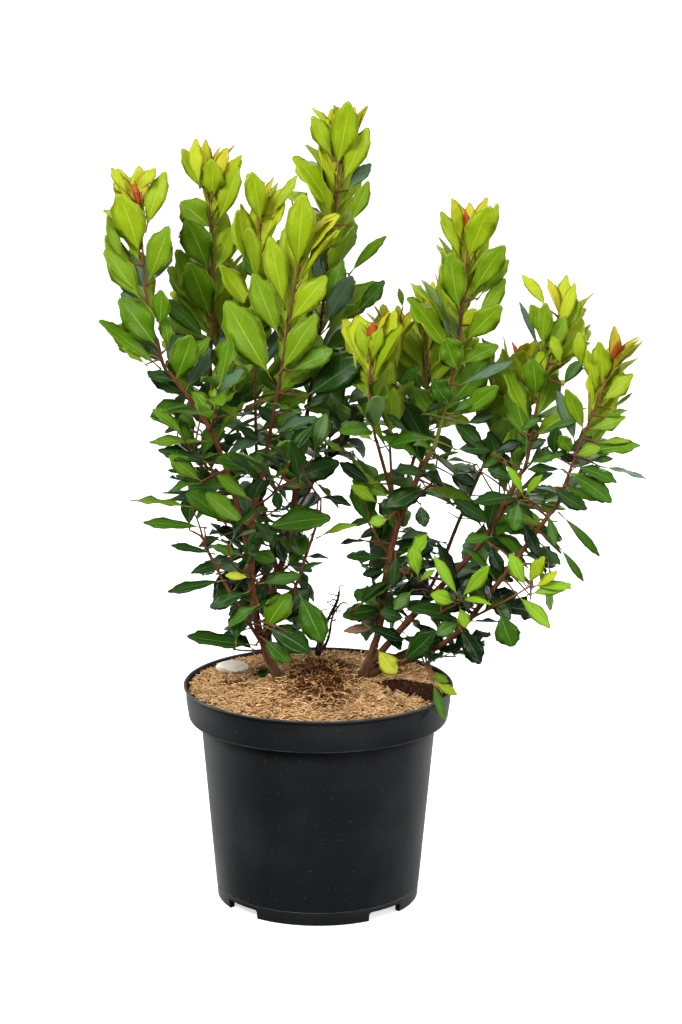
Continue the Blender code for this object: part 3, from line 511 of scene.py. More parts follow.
class Paint(Nodes):
    """A material that is put together node by node round one shader."""

    def __init__(self, name, roughness=0.5, gloss=0.5):
        self.material = bpy.data.materials.new(name)
        self.material.use_nodes = True
        super().__init__(self.material.node_tree)
        self.shader = self.tree.nodes["Principled BSDF"]
        self.fill(self.shader, {"Roughness": roughness, "Specular IOR Level": gloss})

    def mix(self, share, first, second):
        """A colour between two, each of which is a colour or a socket."""
        inputs = {0: share}
        for key, value in ((6, first), (7, second)):
            inputs[key] = value if isinstance(value, bpy.types.NodeSocket) else (*value[:3], 1.0)
        return self.node("ShaderNodeMix", inputs, data_type="RGBA").outputs[2]

    def cover(self, tint, pattern, low, high, most, colour):
        """The tint, and by up to this share the colour, where the pattern is high."""
        return self.mix(self.step(pattern, low, high, 0.0, most), tint, colour)

    def places(self):
        return self.node("ShaderNodeTexCoord").outputs["Object"]

    def uv(self):
        """The two parts of the piece's own map."""
        return self.parts(self.put("ShaderNodeUVMap", uv_map=UV_NAME))[:2]

    def ring(self, rows):
        """How far along a stem a place lies, and a chart that wraps round it without a seam."""
        around, share = self.uv()
        turn = self.times(around, 2 * math.pi)
        parts = {0: self.math("COSINE", turn), 1: self.math("SINE", turn), 2: self.times(share, rows)}
        return share, self.put("ShaderNodeCombineXYZ", parts)

    def length(self, vector):
        return self.node("ShaderNodeVectorMath", {0: vector}, operation="LENGTH").outputs["Value"]

    def noise(self, vector, scale, detail=2.0, roughness=0.5):
        sockets = {"Vector": vector, "Scale": scale, "Detail": detail, "Roughness": roughness}
        return self.put("ShaderNodeTexNoise", sockets)

    def streaks(self, vector, stretch, detail, roughness=0.5):
        """Noise that is finer one way than the other."""
        chart = self.put("ShaderNodeMapping", {"Vector": vector, "Scale": stretch})
        return self.noise(chart, 1.0, detail, roughness)

    def finish(self, tint, height, strength, distance):
        """The shader shows the tint and the height as relief."""
        relief = {"Strength": strength, "Distance": distance, "Height": height}
        self.fill(self.shader, {"Base Color": tint, "Normal": self.put("ShaderNodeBump", relief)})
        return self.material


def darker(colour, share):
    return tuple(value * share for value in colour)


def leaf_paint(name, colour, vein, margin, share_of_margin, margin_start, roughness, gloss, under):
    """A blade with a pale midrib, faint side veins that run to the tip, mottling, painted shade towards its
    foot and a margin.
    """
    paint = Paint(name, roughness, gloss)
    across, share = paint.uv()
    across = paint.math("DIVIDE", paint.minus(across, UNDER_MIDDLE if under else UPPER_MIDDLE), UV_HALF)
    away = paint.math("ABSOLUTE", across)
    chart = paint.put("ShaderNodeCombineXYZ", {0: across, 1: paint.times(share, 3.0)})
    patches = paint.noise(chart, 1.3, 2.0)
    fine = paint.noise(chart, 16.0, 3.0, 0.6)
    tint = paint.mix(paint.step(patches, 0.35, 0.7, 0.0, 0.5), colour, darker(colour, 0.7))
    tint = paint.cover(tint, fine, 0.45, 0.75, 0.2, darker(vein, 0.75))
    rows = paint.minus(paint.times(share, VEIN_PAIRS), paint.times(away, 2.0))
    veins = paint.math("PINGPONG", paint.plus(rows, paint.times(patches, 1.6)), 0.5)
    inner = paint.step(away, 0.75, 1.0, 1.0, 0.0)
    veins = paint.times(paint.step(veins, 0.0, 0.09, 1.0, 0.0), inner)
    rib = paint.step(paint.plus(away, paint.times(share, 0.03)), 0.03, 0.07, 1.0, 0.0)
    tint = paint.mix(paint.times(veins, 0.32 if under else 0.26), tint, vein)
    # Painted shade: the blade is darker towards its foot
    tint = paint.mix(paint.step(share, 0.0, 0.7, 0.4, 0.0), tint, darker(colour, 0.6))
    tint = paint.mix(paint.times(rib, 0.85), tint, vein)
    tint = paint.cover(tint, away, margin_start, 0.98, share_of_margin, margin)
    grooves = paint.plus(paint.times(veins, 0.6), rib)
    height = paint.minus(paint.times(fine, 0.9), grooves)
    return paint.finish(tint, height, 0.5, -0.0004 if under else 0.0004)


def green_stretch(paint, tint):
    """The colour, gone olive green round the place where the tall right shoot leaves its bough."""
    middle = (Vector(GREEN_PLACE) + AXIS) * MM
    apart = paint.put("ShaderNodeVectorMath", {0: paint.places(), 1: middle}, operation="SUBTRACT")
    share = paint.step(paint.length(apart), GREEN_REACH * 0.6 * MM, GREEN_REACH * MM, 0.8, 0.0)
    return paint.mix(share, tint, srgb(118, 124, 44))


def stem_paint(name, foot, middle, tip, roughness):
    """A young stem: its colour runs from its foot to its tip, with fine streaks lengthwise."""
    paint = Paint(name, roughness, 0.25)
    share, ring = paint.ring(6.0)
    chart = paint.put("ShaderNodeMapping", {"Vector": ring, "Scale": (2.5, 2.5, 1.2)})
    streaks = paint.noise(chart, 2.0, 3.0, 0.6)
    tint = paint.mix(paint.step(share, 0.0, 0.55), foot, middle)
    tint = paint.mix(paint.step(share, 0.6, 1.0), tint, tip)
    tint = paint.cover(tint, streaks, 0.42, 0.7, 0.55, darker(foot, 0.6))
    return paint.finish(green_stretch(paint, tint), streaks, 0.4, 0.0003)


def bark_paint(name, ridge, groove, light):
    """Bark with lengthwise fibres, dark grooves and pale flakes, darker near the ground."""
    paint = Paint(name, 0.75, 0.25)
    ring = paint.ring(60.0)[1]
    low = paint.step(paint.parts(paint.places())[2], 0.22, 0.34, 0.7, 0.0)
    fibres = paint.streaks(ring, (5.0, 5.0, 0.9), 4.0, 0.62)
    patches = paint.streaks(ring, (0.8, 0.8, 0.25), 2.0)
    flakes = paint.streaks(ring, (3.0, 3.0, 2.2), 3.0, 0.6)
    tint = paint.mix(paint.step(fibres, 0.36, 0.58), groove, ridge)
    tint = paint.cover(tint, patches, 0.45, 0.7, 0.5, darker(ridge, 0.6))
    tint = paint.cover(tint, flakes, 0.58, 0.74, 0.6, light)
    tint = paint.mix(low, tint, darker(groove, 0.8))
    height = paint.plus(fibres, paint.times(flakes, 0.5))
    return paint.finish(green_stretch(paint, tint), height, 0.6, 0.0006)


def pot_paint(colour):
    """Moulded plastic: a fine grain, dull patches, tiny specks, and lighter edges that are painted
    highlights and wear.
    """
    paint = Paint("pot_plastic_paint", 0.45, 0.28)
    places = paint.places()
    height = paint.parts(places)[2]
    clouds = paint.noise(places, 9.0, 3.0, 0.6)
    grain = paint.noise(places, 900.0, 2.0)
    dust = paint.streaks(places, (620.0, 620.0, 500.0), 1.0)
    scuffs = paint.streaks(places, (24.0, 24.0, 500.0), 3.0, 0.7)
    broken = paint.step(paint.noise(places, 45.0, 3.0, 0.7), 0.35, 0.65, 0.25, 0.85)
    tint = paint.mix(paint.step(clouds, 0.4, 0.75, 0.0, 0.4), colour, srgb(44, 45, 48))
    tint = paint.cover(tint, dust, 0.72, 0.8, 0.3, srgb(140, 140, 138))
    tint = paint.cover(tint, scuffs, 0.72, 0.84, 0.16, srgb(130, 132, 135))
    # The rim, the collar's foot, the crease and the foot's edge are painted lighter in broken lines: painted
    # highlights, and wear
    highlight_and_wear_edges = ((POT_HEIGHT - 0.4, 0.9), (COLLAR_FOOT_Z, 0.7), (CREASE_Z, 0.5), (0.0, 0.7))
    for edge, reach in highlight_and_wear_edges:
        away = paint.math("ABSOLUTE", paint.minus(height, edge * MM))
        near = paint.step(away, 0.0, reach * MM, 0.55, 0.0)
        tint = paint.mix(paint.times(near, broken), tint, srgb(128, 129, 130))
    paint.fill(paint.shader, {"Roughness": paint.step(clouds, 0.3, 0.75, 0.42, 0.6)})
    return paint.finish(tint, paint.plus(grain, paint.times(clouds, 2.0)), 0.2, 0.0004)


def coir_paint(name, colour, dark, fine_scale, mound=0.0):
    """Coir, by this share browner on the mound, whose dark brown is partly painted shade."""
    paint = Paint(name, 0.95, 0.1)
    places = paint.places()
    patches = paint.noise(places, 28.0, 3.0, 0.6)
    fine = paint.noise(places, fine_scale, 3.0, 0.7)
    tint = paint.mix(paint.step(fine, 0.35, 0.65), dark, colour)
    tint = paint.cover(tint, patches, 0.46, 0.7, 0.6, darker(colour, 0.5))
    stretch = [1 / (value * MM) for value in MOUND_SIZE]
    start = [-(MOUND_PLACE[k] + AXIS[k]) * MM * stretch[k] for k in (0, 1)]
    sockets = {"Vector": places, "Scale": (*stretch, 0.0), "Location": (*start, 0.0)}
    away = paint.length(paint.put("ShaderNodeMapping", sockets))
    ragged = paint.plus(away, paint.times(patches, 0.8))
    tint = paint.mix(paint.step(ragged, 1.0, 1.6, mound, 0.0), tint, srgb(62, 36, 18))
    return paint.finish(tint, fine, 0.8, 0.0012)


def soil_paint(name, colour, light):
    paint = Paint(name, 0.96, 0.1)
    places = paint.places()
    fine = paint.noise(places, 240.0, 4.0, 0.7)
    coarse = paint.noise(places, 60.0, 2.0)
    tint = paint.mix(paint.step(fine, 0.45, 0.7), colour, light)
    tint = paint.mix(paint.step(coarse, 0.4, 0.7), tint, darker(colour, 0.5))
    return paint.finish(tint, paint.plus(fine, coarse), 1.0, 0.002)


def stone_paint():
    paint = Paint("pebble_paint", 0.72, 0.3)
    places = paint.places()
    veins = paint.streaks(places, (60.0, 60.0, 160.0), 4.0, 0.6)
    fine = paint.noise(places, 700.0, 2.0)
    tint = paint.mix(paint.step(veins, 0.35, 0.65), srgb(222, 214, 196), srgb(250, 246, 236))
    tint = paint.cover(tint, fine, 0.6, 0.75, 0.5, srgb(160, 150, 130))
    return paint.finish(tint, paint.plus(veins, fine), 0.4, 0.0008)


# Making and finishing pieces


def finish_piece(obj, slot, *nodes):
    """The piece rides with the plant and stands for these solids; the slot is not used."""
    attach(obj, BODY)
    if nodes:
        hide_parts(*nodes)


def placed(x, y, z):
    """In metres, the place that lies so far from the pot's axis and over the ground."""
    return (AXIS.x + x) * MM, (AXIS.y + y) * MM, z * MM


def deselect():
    if bpy.context.object and bpy.context.object.mode != "OBJECT":
        bpy.ops.object.mode_set(mode="OBJECT")
    bpy.ops.object.select_all(action="DESELECT")


def make_active(obj):
    deselect()
    obj.select_set(True)
    bpy.context.view_layer.objects.active = obj


def add(primitive, **values):
    """The piece that this operator adds."""
    deselect()
    primitive(**values)
    return bpy.context.object


def edit(step, **values):
    """Takes this step of mesh editing on all of the active piece."""
    bpy.ops.object.mode_set(mode="EDIT")
    bpy.ops.mesh.select_all(action="SELECT")
    step(**values)
    bpy.ops.object.mode_set(mode="OBJECT")


def settle(obj, name, material):
    """Names the piece, puts its place in its mesh and gives it its material."""
    make_active(obj)
    bpy.ops.object.transform_apply()
    obj.name = name
    obj.data.name = name
    obj.data.materials.clear()
    obj.data.materials.append(material)


def modify(obj, kind, **values):
    """Adds a modifier and applies it."""
    make_active(obj)
    modifier = obj.modifiers.new(kind.lower(), kind)
    for key, value in values.items():
        setattr(modifier, key, value)
    bpy.ops.object.modifier_apply(modifier=modifier.name)


def turned_piece(profile, segments):
    """Turns an outline of (radius, height) pairs by extruding one ring after the other."""
    radius, height = profile[0]
    piece = add(
        bpy.ops.mesh.primitive_circle_add, vertices=segments, radius=radius * MM, fill_type="NGON",
        location=placed(0, 0, height),
    )
    bpy.ops.object.mode_set(mode="EDIT")
    bpy.ops.mesh.select_all(action="SELECT")
    for (radius, height), (next_radius, next_height) in zip(profile, profile[1:]):
        rise = (0.0, 0.0, (next_height - height) * MM)
        bpy.ops.mesh.extrude_region_move(TRANSFORM_OT_translate={"value": rise})
        growth = next_radius / radius
        bpy.ops.transform.resize(value=(growth, growth, 1.0))
    edit(bpy.ops.mesh.normals_make_consistent, inside=False)
    return piece


def cut(obj, cutter):
    """Cuts the cutter from the object and removes it."""
    modify(obj, "BOOLEAN", operation="DIFFERENCE", solver="EXACT", object=cutter)
    bpy.data.objects.remove(cutter)


def smooth_by_angle(obj, degrees):
    make_active(obj)
    bpy.ops.object.shade_smooth_by_angle(angle=math.radians(degrees))


class Blank:
    """A small shape that is modelled once: its points, its faces by number of corners, their side."""

    def __init__(self, obj):
        mesh = obj.data
        self.points = np.array([tuple(vert.co) for vert in mesh.vertices])
        self.faces = {}
        self.upper = {}
        for polygon in mesh.polygons:
            corners = tuple(polygon.vertices)
            self.faces.setdefault(len(corners), []).append(corners)
            self.upper.setdefault(len(corners), []).append(polygon.normal.z > 0)
        self.faces = {size: np.array(rows) for size, rows in self.faces.items()}
        self.upper = {size: np.array(rows) for size, rows in self.upper.items()}
        bpy.data.objects.remove(obj)


class Gathered:
    """Many small shapes that become one mesh."""

    def __init__(self):
        self.places = []
        self.faces = {}
        self.charts = {}
        self.slots = {}
        self.count = 0
        self.shapes = 0
        self.owners = set()

    def add(self, places, faces, charts=None, slots=None):
        """Places, and by number of corners the faces, the places of their corners on the map, slots."""
        for size, rows in faces.items():
            self.faces.setdefault(size, []).append(rows + self.count)
            chart = charts[size] if charts else np.zeros((len(rows), size, 2))
            self.charts.setdefault(size, []).append(chart)
            slot = slots[size] if slots else np.zeros(len(rows), int)
            self.slots.setdefault(size, []).append(slot)
        self.places.append(places)
        self.count += len(places)
        self.shapes += 1

    def piece(self, name, *materials):
        """The object of all the shapes, in metres."""
        mesh = bpy.data.meshes.new(name)
        places = (np.concatenate(self.places) + np.array(AXIS)) * MM
        sizes = sorted(self.faces)
        faces = [face for size in sizes for face in np.concatenate(self.faces[size]).tolist()]
        mesh.from_pydata(places.tolist(), [], faces)
        chart = mesh.uv_layers.new(name=UV_NAME)
        corners = [np.concatenate(self.charts[size]).reshape(-1) for size in sizes]
        chart.data.foreach_set("uv", np.concatenate(corners).astype(np.float32))
        slots = np.concatenate([np.concatenate(self.slots[size]) for size in sizes])
        for material in materials:
            mesh.materials.append(material)
        mesh.polygons.foreach_set("material_index", slots.astype(np.int32))
        mesh.shade_smooth()
        obj = bpy.data.objects.new(name, mesh)
        bpy.context.scene.collection.objects.link(obj)
        return obj


# Paths and tubes


def smooth_path(points, step):
    """Places on a smooth curve through the points, about a step apart."""
    points = [Vector(point) for point in points]
    if len(points) == 2:
        points.insert(1, (points[0] + points[1]) / 2)
    ends = [points[0] * 2 - points[1], *points, points[-1] * 2 - points[-2]]
    path = [points[0]]
    for a, b, c, d in zip(ends, ends[1:], ends[2:], ends[3:]):
        count = max(1, round((c - b).length / step))
        for k in range(1, count + 1):
            t = k / count
            place = b * 2 + (c - a) * t
            place = place + (a * 2 - b * 5 + c * 4 - d) * t**2 + (b * 3 - a - c * 3 + d) * t**3
            path.append(place / 2)
    return path


def length_of(path):
    return sum((b - a).length for a, b in zip(path, path[1:]))


def along(path, share):
    """The place at this share of the path's length, and the direction there."""
    lengths = [(b - a).length for a, b in zip(path, path[1:])]
    left = share * sum(lengths)
    for a, b, length in zip(path, path[1:], lengths):
        if left <= length or b is path[-1]:
            return a.lerp(b, min(1.0, left / length)), (b - a).normalized()
        left -= length
    return path[-1], (path[-1] - path[-2]).normalized()


def across(direction):
    """Two directions at right angles to this one and to each other."""
    helper = Vector((0, 0, 1)) if abs(direction.z) < 0.9 else Vector((1, 0, 0))
    side = direction.cross(helper).normalized()
    return side, direction.cross(side).normalized()


def out_from(direction, turn):
    """The direction at right angles to this one, turned round it by the angle."""
    side, other = across(direction)
    return side * math.cos(turn) + other * math.sin(turn)


def chance_way(rng, low, high):
    """A chance direction that rises between low and high."""
    return Vector((rng.uniform(-1, 1), rng.uniform(-1, 1), rng.uniform(low, high))).normalized()


def lengths_along(path):
    lengths = [0.0]
    for a, b in zip(path, path[1:]):
        lengths.append(lengths[-1] + (b - a).length)
    return np.array(lengths)


def tube(path, radii, sides, chart_low, chart_high):
    """A closed tube with rounded ends; radii is one row of radii, round the tube, for each place.

    The map runs once round the tube and from chart_low to chart_high along it.
    """
    radii = np.asarray(radii, float)
    if radii.ndim == 1:
        radii = np.repeat(radii[:, None], sides, axis=1)
    first = (path[0] - path[1]).normalized() * radii[0].mean() * 0.4
    last = (path[-1] - path[-2]).normalized() * radii[-1].mean() * 0.5
    path = [path[0] + first, *path, path[-1] + last]
    radii = np.concatenate([radii[:1] * 0.5, radii, radii[-1:] * 0.5])
    turns = 2 * math.pi * np.arange(sides) / sides
    side = across((path[2] - path[1]).normalized())[0]
    rings = []
    for index, place in enumerate(path):
        before = path[max(0, index - 1)]
        after = path[min(len(path) - 1, index + 1)]
        direction = (after - before).normalized()
        side = (side - direction * side.dot(direction)).normalized()
        other = direction.cross(side)
        ring = np.outer(np.cos(turns), side) + np.outer(np.sin(turns), other)
        rings.append(np.array(place) + ring * radii[index][:, None])
    count = len(path)
    low = np.arange(count - 1)[:, None] * sides
    k = np.arange(sides)[None, :]
    following = (k + 1) % sides
    quads = np.stack([low + k, low + following, low + sides + following, low + sides + k], axis=-1)
    ends = np.array([np.arange(sides)[::-1], (count - 1) * sides + np.arange(sides)])
    lengths = lengths_along(path)
    shares = chart_low + (chart_high - chart_low) * lengths / lengths[-1]
    left, right = k / sides, (k + 1) / sides
    here, there = shares[:-1, None], shares[1:, None]
    corners = ((left, here), (right, here), (right, there), (left, there))
    charts = np.stack([np.stack(np.broadcast_arrays(*corner), axis=-1) for corner in corners], axis=2)
    end_charts = np.zeros((2, sides, 2))
    end_charts[0, :, 1] = shares[0]
    end_charts[1, :, 1] = shares[-1]
    faces = {4: quads.reshape(-1, 4), sides: ends}
    maps = {4: charts.reshape(-1, 4, 2), sides: end_charts}
    if sides == 4:
        faces = {4: np.concatenate([quads.reshape(-1, 4), ends])}
        maps = {4: np.concatenate([charts.reshape(-1, 4, 2), end_charts])}
    return np.concatenate(rings), faces, maps


# Limbs and shoots: the rule of the solids


def joined(limb, share, places, straight):
    """The places, after one on the limb; a branch from a tip goes straight on at first."""
    place, direction = along(limb["path"], share)
    if share < 1.0:
        return [place, *places]
    return [place - direction * 3.0, place + direction * straight, *places]


def plan_limbs():
    """The places, the path and the end radii of each limb, by name."""
    limbs = {}
    for name, parent, share, places, start, end in LIMBS:
        points = joined(limbs[parent], share, places, LIMB_STEP / 2) if parent else places
        limbs[name] = {
            "name": name, "parent": parent, "share": share, "path": smooth_path(points, LIMB_STEP),
            "fine": smooth_path(points, BARK_STEP), "start": start, "end": end, "forks": [],
        }
        if parent:
            limbs[parent]["forks"].append((share, start))
    return limbs


def plan_shoots(limbs):
    """The stem's path of each shoot and how its leaves grow."""
    shoots = []
    for name, parent, share, places, radius, leaves, twigs in SHOOTS:
        points = [Vector(p) for p in joined(limbs[parent], share, places, STEM_STEP / 3)]
        limbs[parent]["forks"].append((share, radius))
        manner = "crown" if radius >= CROWN_STEM else "shade"
        if name.startswith(BRIGHT_NAME):
            manner = "bright"
        if manner == "crown":
            points = [*points, points[-1] + (points[-1] - points[-2]).normalized() * TIP_GROWTH]
        shoots.append({
            "name": name, "limb": limbs[parent], "share": share, "radius": radius,
            "path": smooth_path(points, STEM_STEP), "fine": smooth_path(points, TWIG_STEP),
            "leaves": leaves, "twig_count": twigs, "twigs": [], "twig_shares": [], "manner": manner,
        })
    return shoots


def samples_of(path, spacing):
    count = max(2, round(length_of(path) / spacing))
    return [along(path, k / count)[0] for k in range(count + 1)]


def tree_of(places):
    tree = KDTree(len(places))
    for index, place in enumerate(places):
        tree.insert(place, index)
    tree.balance()
    return tree


class Space:
    """Says whether a leaf keeps to its shoot's own space, clear of the limbs and out of their view."""

    def __init__(self, shoots, limbs):
        self.own = []
        self.owners = []
        stems = []
        for index, shoot in enumerate(shoots):
            paths = (shoot["path"], *shoot["twigs"])
            places = [place for path in paths for place in samples_of(path, STEM_SAMPLE)]
            self.own.append(tree_of(places))
            self.owners += [index] * len(places)
            stems += places
        self.stems = tree_of(stems)
        self.radii = []
        boughs = []
        for limb in limbs.values():
            places = samples_of(limb["path"], LIMB_SAMPLE)
            self.radii += [max(limb["start"], limb["end"])] * len(places)
            boughs += places
        self.limbs = tree_of(boughs)
        crown = [shoot["path"] for shoot in shoots if shoot["manner"] == "crown"]
        tall = [place for path in crown for place in samples_of(path, STEM_SAMPLE)]
        self.carriers = tree_of(boughs + tall)
        self.first_kept = len(boughs)
        views = [front_view(place) for place in boughs + self.kept_in_view()]
        self.views = tree_of([Vector((right, high, 0)) for right, high, depth in views])
        self.depths = [depth for right, high, depth in views]

    def kept_in_view(self):
        """Places on the single leaves, along the middle and on both sides of it."""
        kept = []
        for root, tip, width, degrees, tone in single_leaves():
            side = (tip - root).cross(Vector((0, -1, 0))) * width * 0.3
            kept += [root.lerp(tip, k / 5) + side * j for k in range(1, 6) for j in (-1, 0, 1)]
        return kept

    def covers(self, places, may_cover):
        """Whether any place hides a single leaf from the front, or a limb where that counts."""
        for place in places:
            right, high, depth = front_view(place)
            index, distance = self.views.find(Vector((right, high, 0)))[1:]
            if distance < COVER_REACH and depth < self.depths[index]:
                if index >= self.first_kept or not may_cover:
                    return True
        return False

    def holds(self, own, places):
        """Whether all places lie in the shoot's own space, over the rim and outside the clearings."""
        for place in places:
            if place.z < POT_HEIGHT + LOWEST_LEAF or is_clearing(place):
                return False
            index, distance = self.limbs.find(place)[1:]
            if distance - self.radii[index] < LIMB_MARGIN:
                return False
            if own is None:
                continue
            index, distance = self.stems.find(place)[1:]
            if self.owners[index] != own:
                if self.own[own].find(place)[2] > distance + SPACE_SLACK:
                    return False
        return True


def front_camera():
    """Distance of the camera in millimetres, and the cosine and sine of its elevation."""
    values = settings().stage
    return values.distance / MM, math.cos(values.elevation), math.sin(values.elevation)


def front_view(place):
    """How far right, high and deep the place lies as seen from the front."""
    distance, level, steep = front_camera()
    rise = place.z - VIEW_HEIGHT
    depth = place.y * level - rise * steep
    scale = distance / (distance + depth)
    return place.x * scale, (rise * level + place.y * steep) * scale, depth


def seen_from_front(right, high, deep):
    """The place at this depth that lies so far right and high as seen from the front."""
    distance, level, steep = front_camera()
    rise = (high * (distance + deep * level) - deep * steep * distance) / (level * distance + steep * high)
    scale = distance / (distance + deep * level - rise * steep)
    return Vector((right / scale, deep, VIEW_HEIGHT + rise))


def single_leaves():
    """Root, tip, width, degrees and tone of each leaf that is placed by itself."""
    rows = [(Vector(root), Vector(tip), *kind) for root, tip, *kind in ODD_LEAVES]
    for *ends, width, degrees, tone in FRONT_LEAVES:
        rows.append((seen_from_front(*ends[:3]), seen_from_front(*ends[3:]), width, degrees, tone))
    return rows


def is_clearing(place):
    """Whether the place lies where the crown is open, as seen from the front."""
    right, high, depth = front_view(place)
    return any(a < right < b and low < high < top for a, b, low, top in CLEARINGS)


def plan_twigs(shoots, limbs):
    """Twigs that leave each stem in turn; one that nears a limb or another stem is left out."""
    space = Space(shoots, limbs)
    for own, shoot in enumerate(shoots):
        rng = random.Random(SEED * 77 + own)
        first = rng.uniform(0, 2 * math.pi)
        wanted = shoot["twig_count"] + (0 if shoot["manner"] == "crown" else SPARE_TWIGS)
        for k in range(wanted * 4):
            share = rng.uniform(0.35, 0.85)
            place, direction = along(shoot["path"], share)
            out = out_from(direction, first + GOLDEN_ANGLE * k)
            way = direction * math.cos(TWIG_ANGLE) + out * math.sin(TWIG_ANGLE)
            end = place + way * TWIG_LENGTH * rng.uniform(0.7, 1.1)
            middle = place.lerp(end, 0.5) - Vector((0, 0, 2.5))
            if space.holds(own, [middle, end]):
                shoot["twigs"].append([place, middle, end])
                shoot["twig_shares"].append(share)
            if len(shoot["twigs"]) == wanted:
                break


# Leaves


def leaf_blank(rows):
    """A flat lens one long and two wide: a grid, extruded down and closed along its border."""
    grid = bpy.ops.mesh.primitive_grid_add
    obj = add(grid, x_subdivisions=rows, y_subdivisions=BLADE_COLUMNS, size=2.0)
    edit(bpy.ops.mesh.extrude_region_move, TRANSFORM_OT_translate={"value": (0, 0, -1)})
    for vert in obj.data.vertices:
        if max(abs(vert.co.x), abs(vert.co.y)) > 0.999:
            vert.co.z = 0.0
    edit(bpy.ops.mesh.remove_doubles, threshold=0.001)
    edit(bpy.ops.mesh.normals_make_consistent, inside=False)
    return Blank(obj)


class BladeForm:
    """The blank of a blade with its outline: where each point lies along and across the leaf."""

    def __init__(self, rows, teeth, bluntness):
        self.blank = leaf_blank(rows)
        points = self.blank.points
        row = np.round((points[:, 0] + 1) / 2 * rows)
        share = row / rows
        share = 0.55 * share + 0.45 * (0.5 - 0.5 * np.cos(np.pi * share))
        self.across = points[:, 1]
        self.under = -points[:, 2]
        edge = np.abs(self.across) > 0.99
        odd = row % 2 == 1
        self.share = share + edge * odd * 0.3 / rows
        self.half = outline(share, bluntness) * (1 + edge * np.where(odd, teeth, -teeth / 2))
        charts = {}
        for size, faces in self.blank.faces.items():
            middle = np.where(self.blank.upper[size], UPPER_MIDDLE, UNDER_MIDDLE)[:, None]
            u = middle + UV_HALF * self.across[faces]
            charts[size] = np.stack([u, 0.02 + 0.96 * share[faces]], axis=-1)
        self.charts = charts
        self.slots = {size: np.where(rows_up, 0, 1) for size, rows_up in self.blank.upper.items()}


def outline(share, bluntness):
    """Half width of a blade from its foot to its tip, widest a little past the middle."""
    half = np.sin(np.pi * np.clip(share, 0, 1) ** 1.24) ** bluntness
    return np.maximum(half * (1 - 0.26 * share**5), 0.03)


class TestForm:
    """A few places on a blade, for tests."""

    share = np.array([0.12, 0.5, 0.5, 0.5, 1.0, 0.3, 0.78, 0.78, 0.78])
    across = np.array([0.0, -1.0, 0.0, 1.0, 0.0, 0.0, -1.0, 0.0, 1.0])
    under = np.zeros(9)
    half = outline(share, 0.9)
    faces = ((0, 1, 2), (1, 4, 2), (0, 2, 3), (2, 4, 3))


def blade_places(form, leaf):
    """The form's points on this leaf: arched, folded along the midrib, twisted and wavy."""
    share, away = form.share, form.across
    forward, up = np.array(leaf["forward"]), np.array(leaf["up"])
    side = np.cross(up, forward)
    length = leaf["length"] * (1 - PETIOLE_SHARE)
    foot = np.array(leaf["root"]) + forward * leaf["length"] * PETIOLE_SHARE
    bend = leaf["bend"] if abs(leaf["bend"]) > 0.01 else 0.01
    turn = bend * share
    half = leaf["length"] * leaf["width"] / 2 * form.half
    fold = leaf["fold"] * (1 - 0.45 * share)
    ripple = np.sin(2 * np.pi * leaf["ripples"] * share + leaf["phase"] + 2.1 * (away > 0))
    level = half * away * np.cos(fold)
    rise = half * (np.abs(away) * np.sin(fold) + leaf["wave"] * away**2 * ripple)
    rise = rise - LEAF_THICKNESS * form.under
    twist = leaf["twist"] * share
    flat = level * np.cos(twist) - rise * np.sin(twist)
    tall = level * np.sin(twist) + rise * np.cos(twist)
    flat = flat + leaf["sweep"] * length * share**2
    places = foot + np.outer(length * np.sin(turn) / bend, forward)
    places += np.outer(-length * (1 - np.cos(turn)) / bend, up)
    normal = np.outer(np.sin(turn), forward) + np.outer(np.cos(turn), up)
    return places + np.outer(flat, side) + normal * tall[:, None]


# The side that the light comes from
LIGHT_SIDE = Vector((-0.2, -0.9, 0.4)).normalized()

# How leaves of each age sit: width, droop, roll, turn to the light, bend, fold, wave and twist
HABITS = {
    "tip": {"width": 0.86, "droop": 0.0, "roll": 0.35, "to_light": 0.4, "bend": (-0.3, 0.5),
            "fold": (0.25, 0.6), "wave": 0.16, "twist": 0.4},
    "young": {"width": 1.0, "droop": 0.05, "roll": 0.55, "to_light": 0.7, "bend": (-0.3, 0.7),
              "fold": (0.12, 0.45), "wave": 0.38, "twist": 0.6},
    "old": {"width": 0.96, "droop": 0.2, "roll": 0.5, "to_light": 0.36, "bend": (-0.2, 0.7),
            "fold": (0.12, 0.5), "wave": 0.34, "twist": 0.5},
}


def leaf_at(place, direction, radius, turn, angle, habit, rng):
    """A leaf that leaves the stem at this place, turned round it and leaning out by the angle.

    Its upper face looks towards the stem and the sky, and a side leaf turns some way to the light.
    """
    out = out_from(direction, turn)
    forward = direction * math.cos(angle) + out * math.sin(angle)
    forward = (forward - Vector((0, 0, habit["droop"] * rng.uniform(0.1, 1.0)))).normalized()
    sky = (direction * 0.6 + Vector((0, 0, 0.8))).normalized()
    up = sky - forward * sky.dot(forward)
    if up.length < 0.05:
        up = out * -1 + forward * out.dot(forward)
    up.normalize()
    light = LIGHT_SIDE - forward * LIGHT_SIDE.dot(forward)
    to_light = math.atan2(forward.dot(up.cross(light)), up.dot(light))
    to_light = max(-1.0, min(1.0, to_light)) * abs(out.x) * habit["to_light"]
    roll = to_light + rng.uniform(-1, 1) * habit["roll"]
    up = up * math.cos(roll) + forward.cross(up) * math.sin(roll)
    bend = rng.uniform(*habit["bend"])
    return {
        "root": place + out * radius * 0.7, "forward": forward, "up": up,
        "width": rng.uniform(0.86, 1.12) * habit["width"], "fold": rng.uniform(*habit["fold"]),
        "bend": bend, "wave": rng.uniform(0, habit["wave"]),
        "ripples": rng.uniform(1.2, 3.0), "phase": rng.uniform(0, 6.28),
        "twist": rng.uniform(-1, 1) * habit["twist"], "sweep": rng.uniform(-0.1, 0.1),
    }


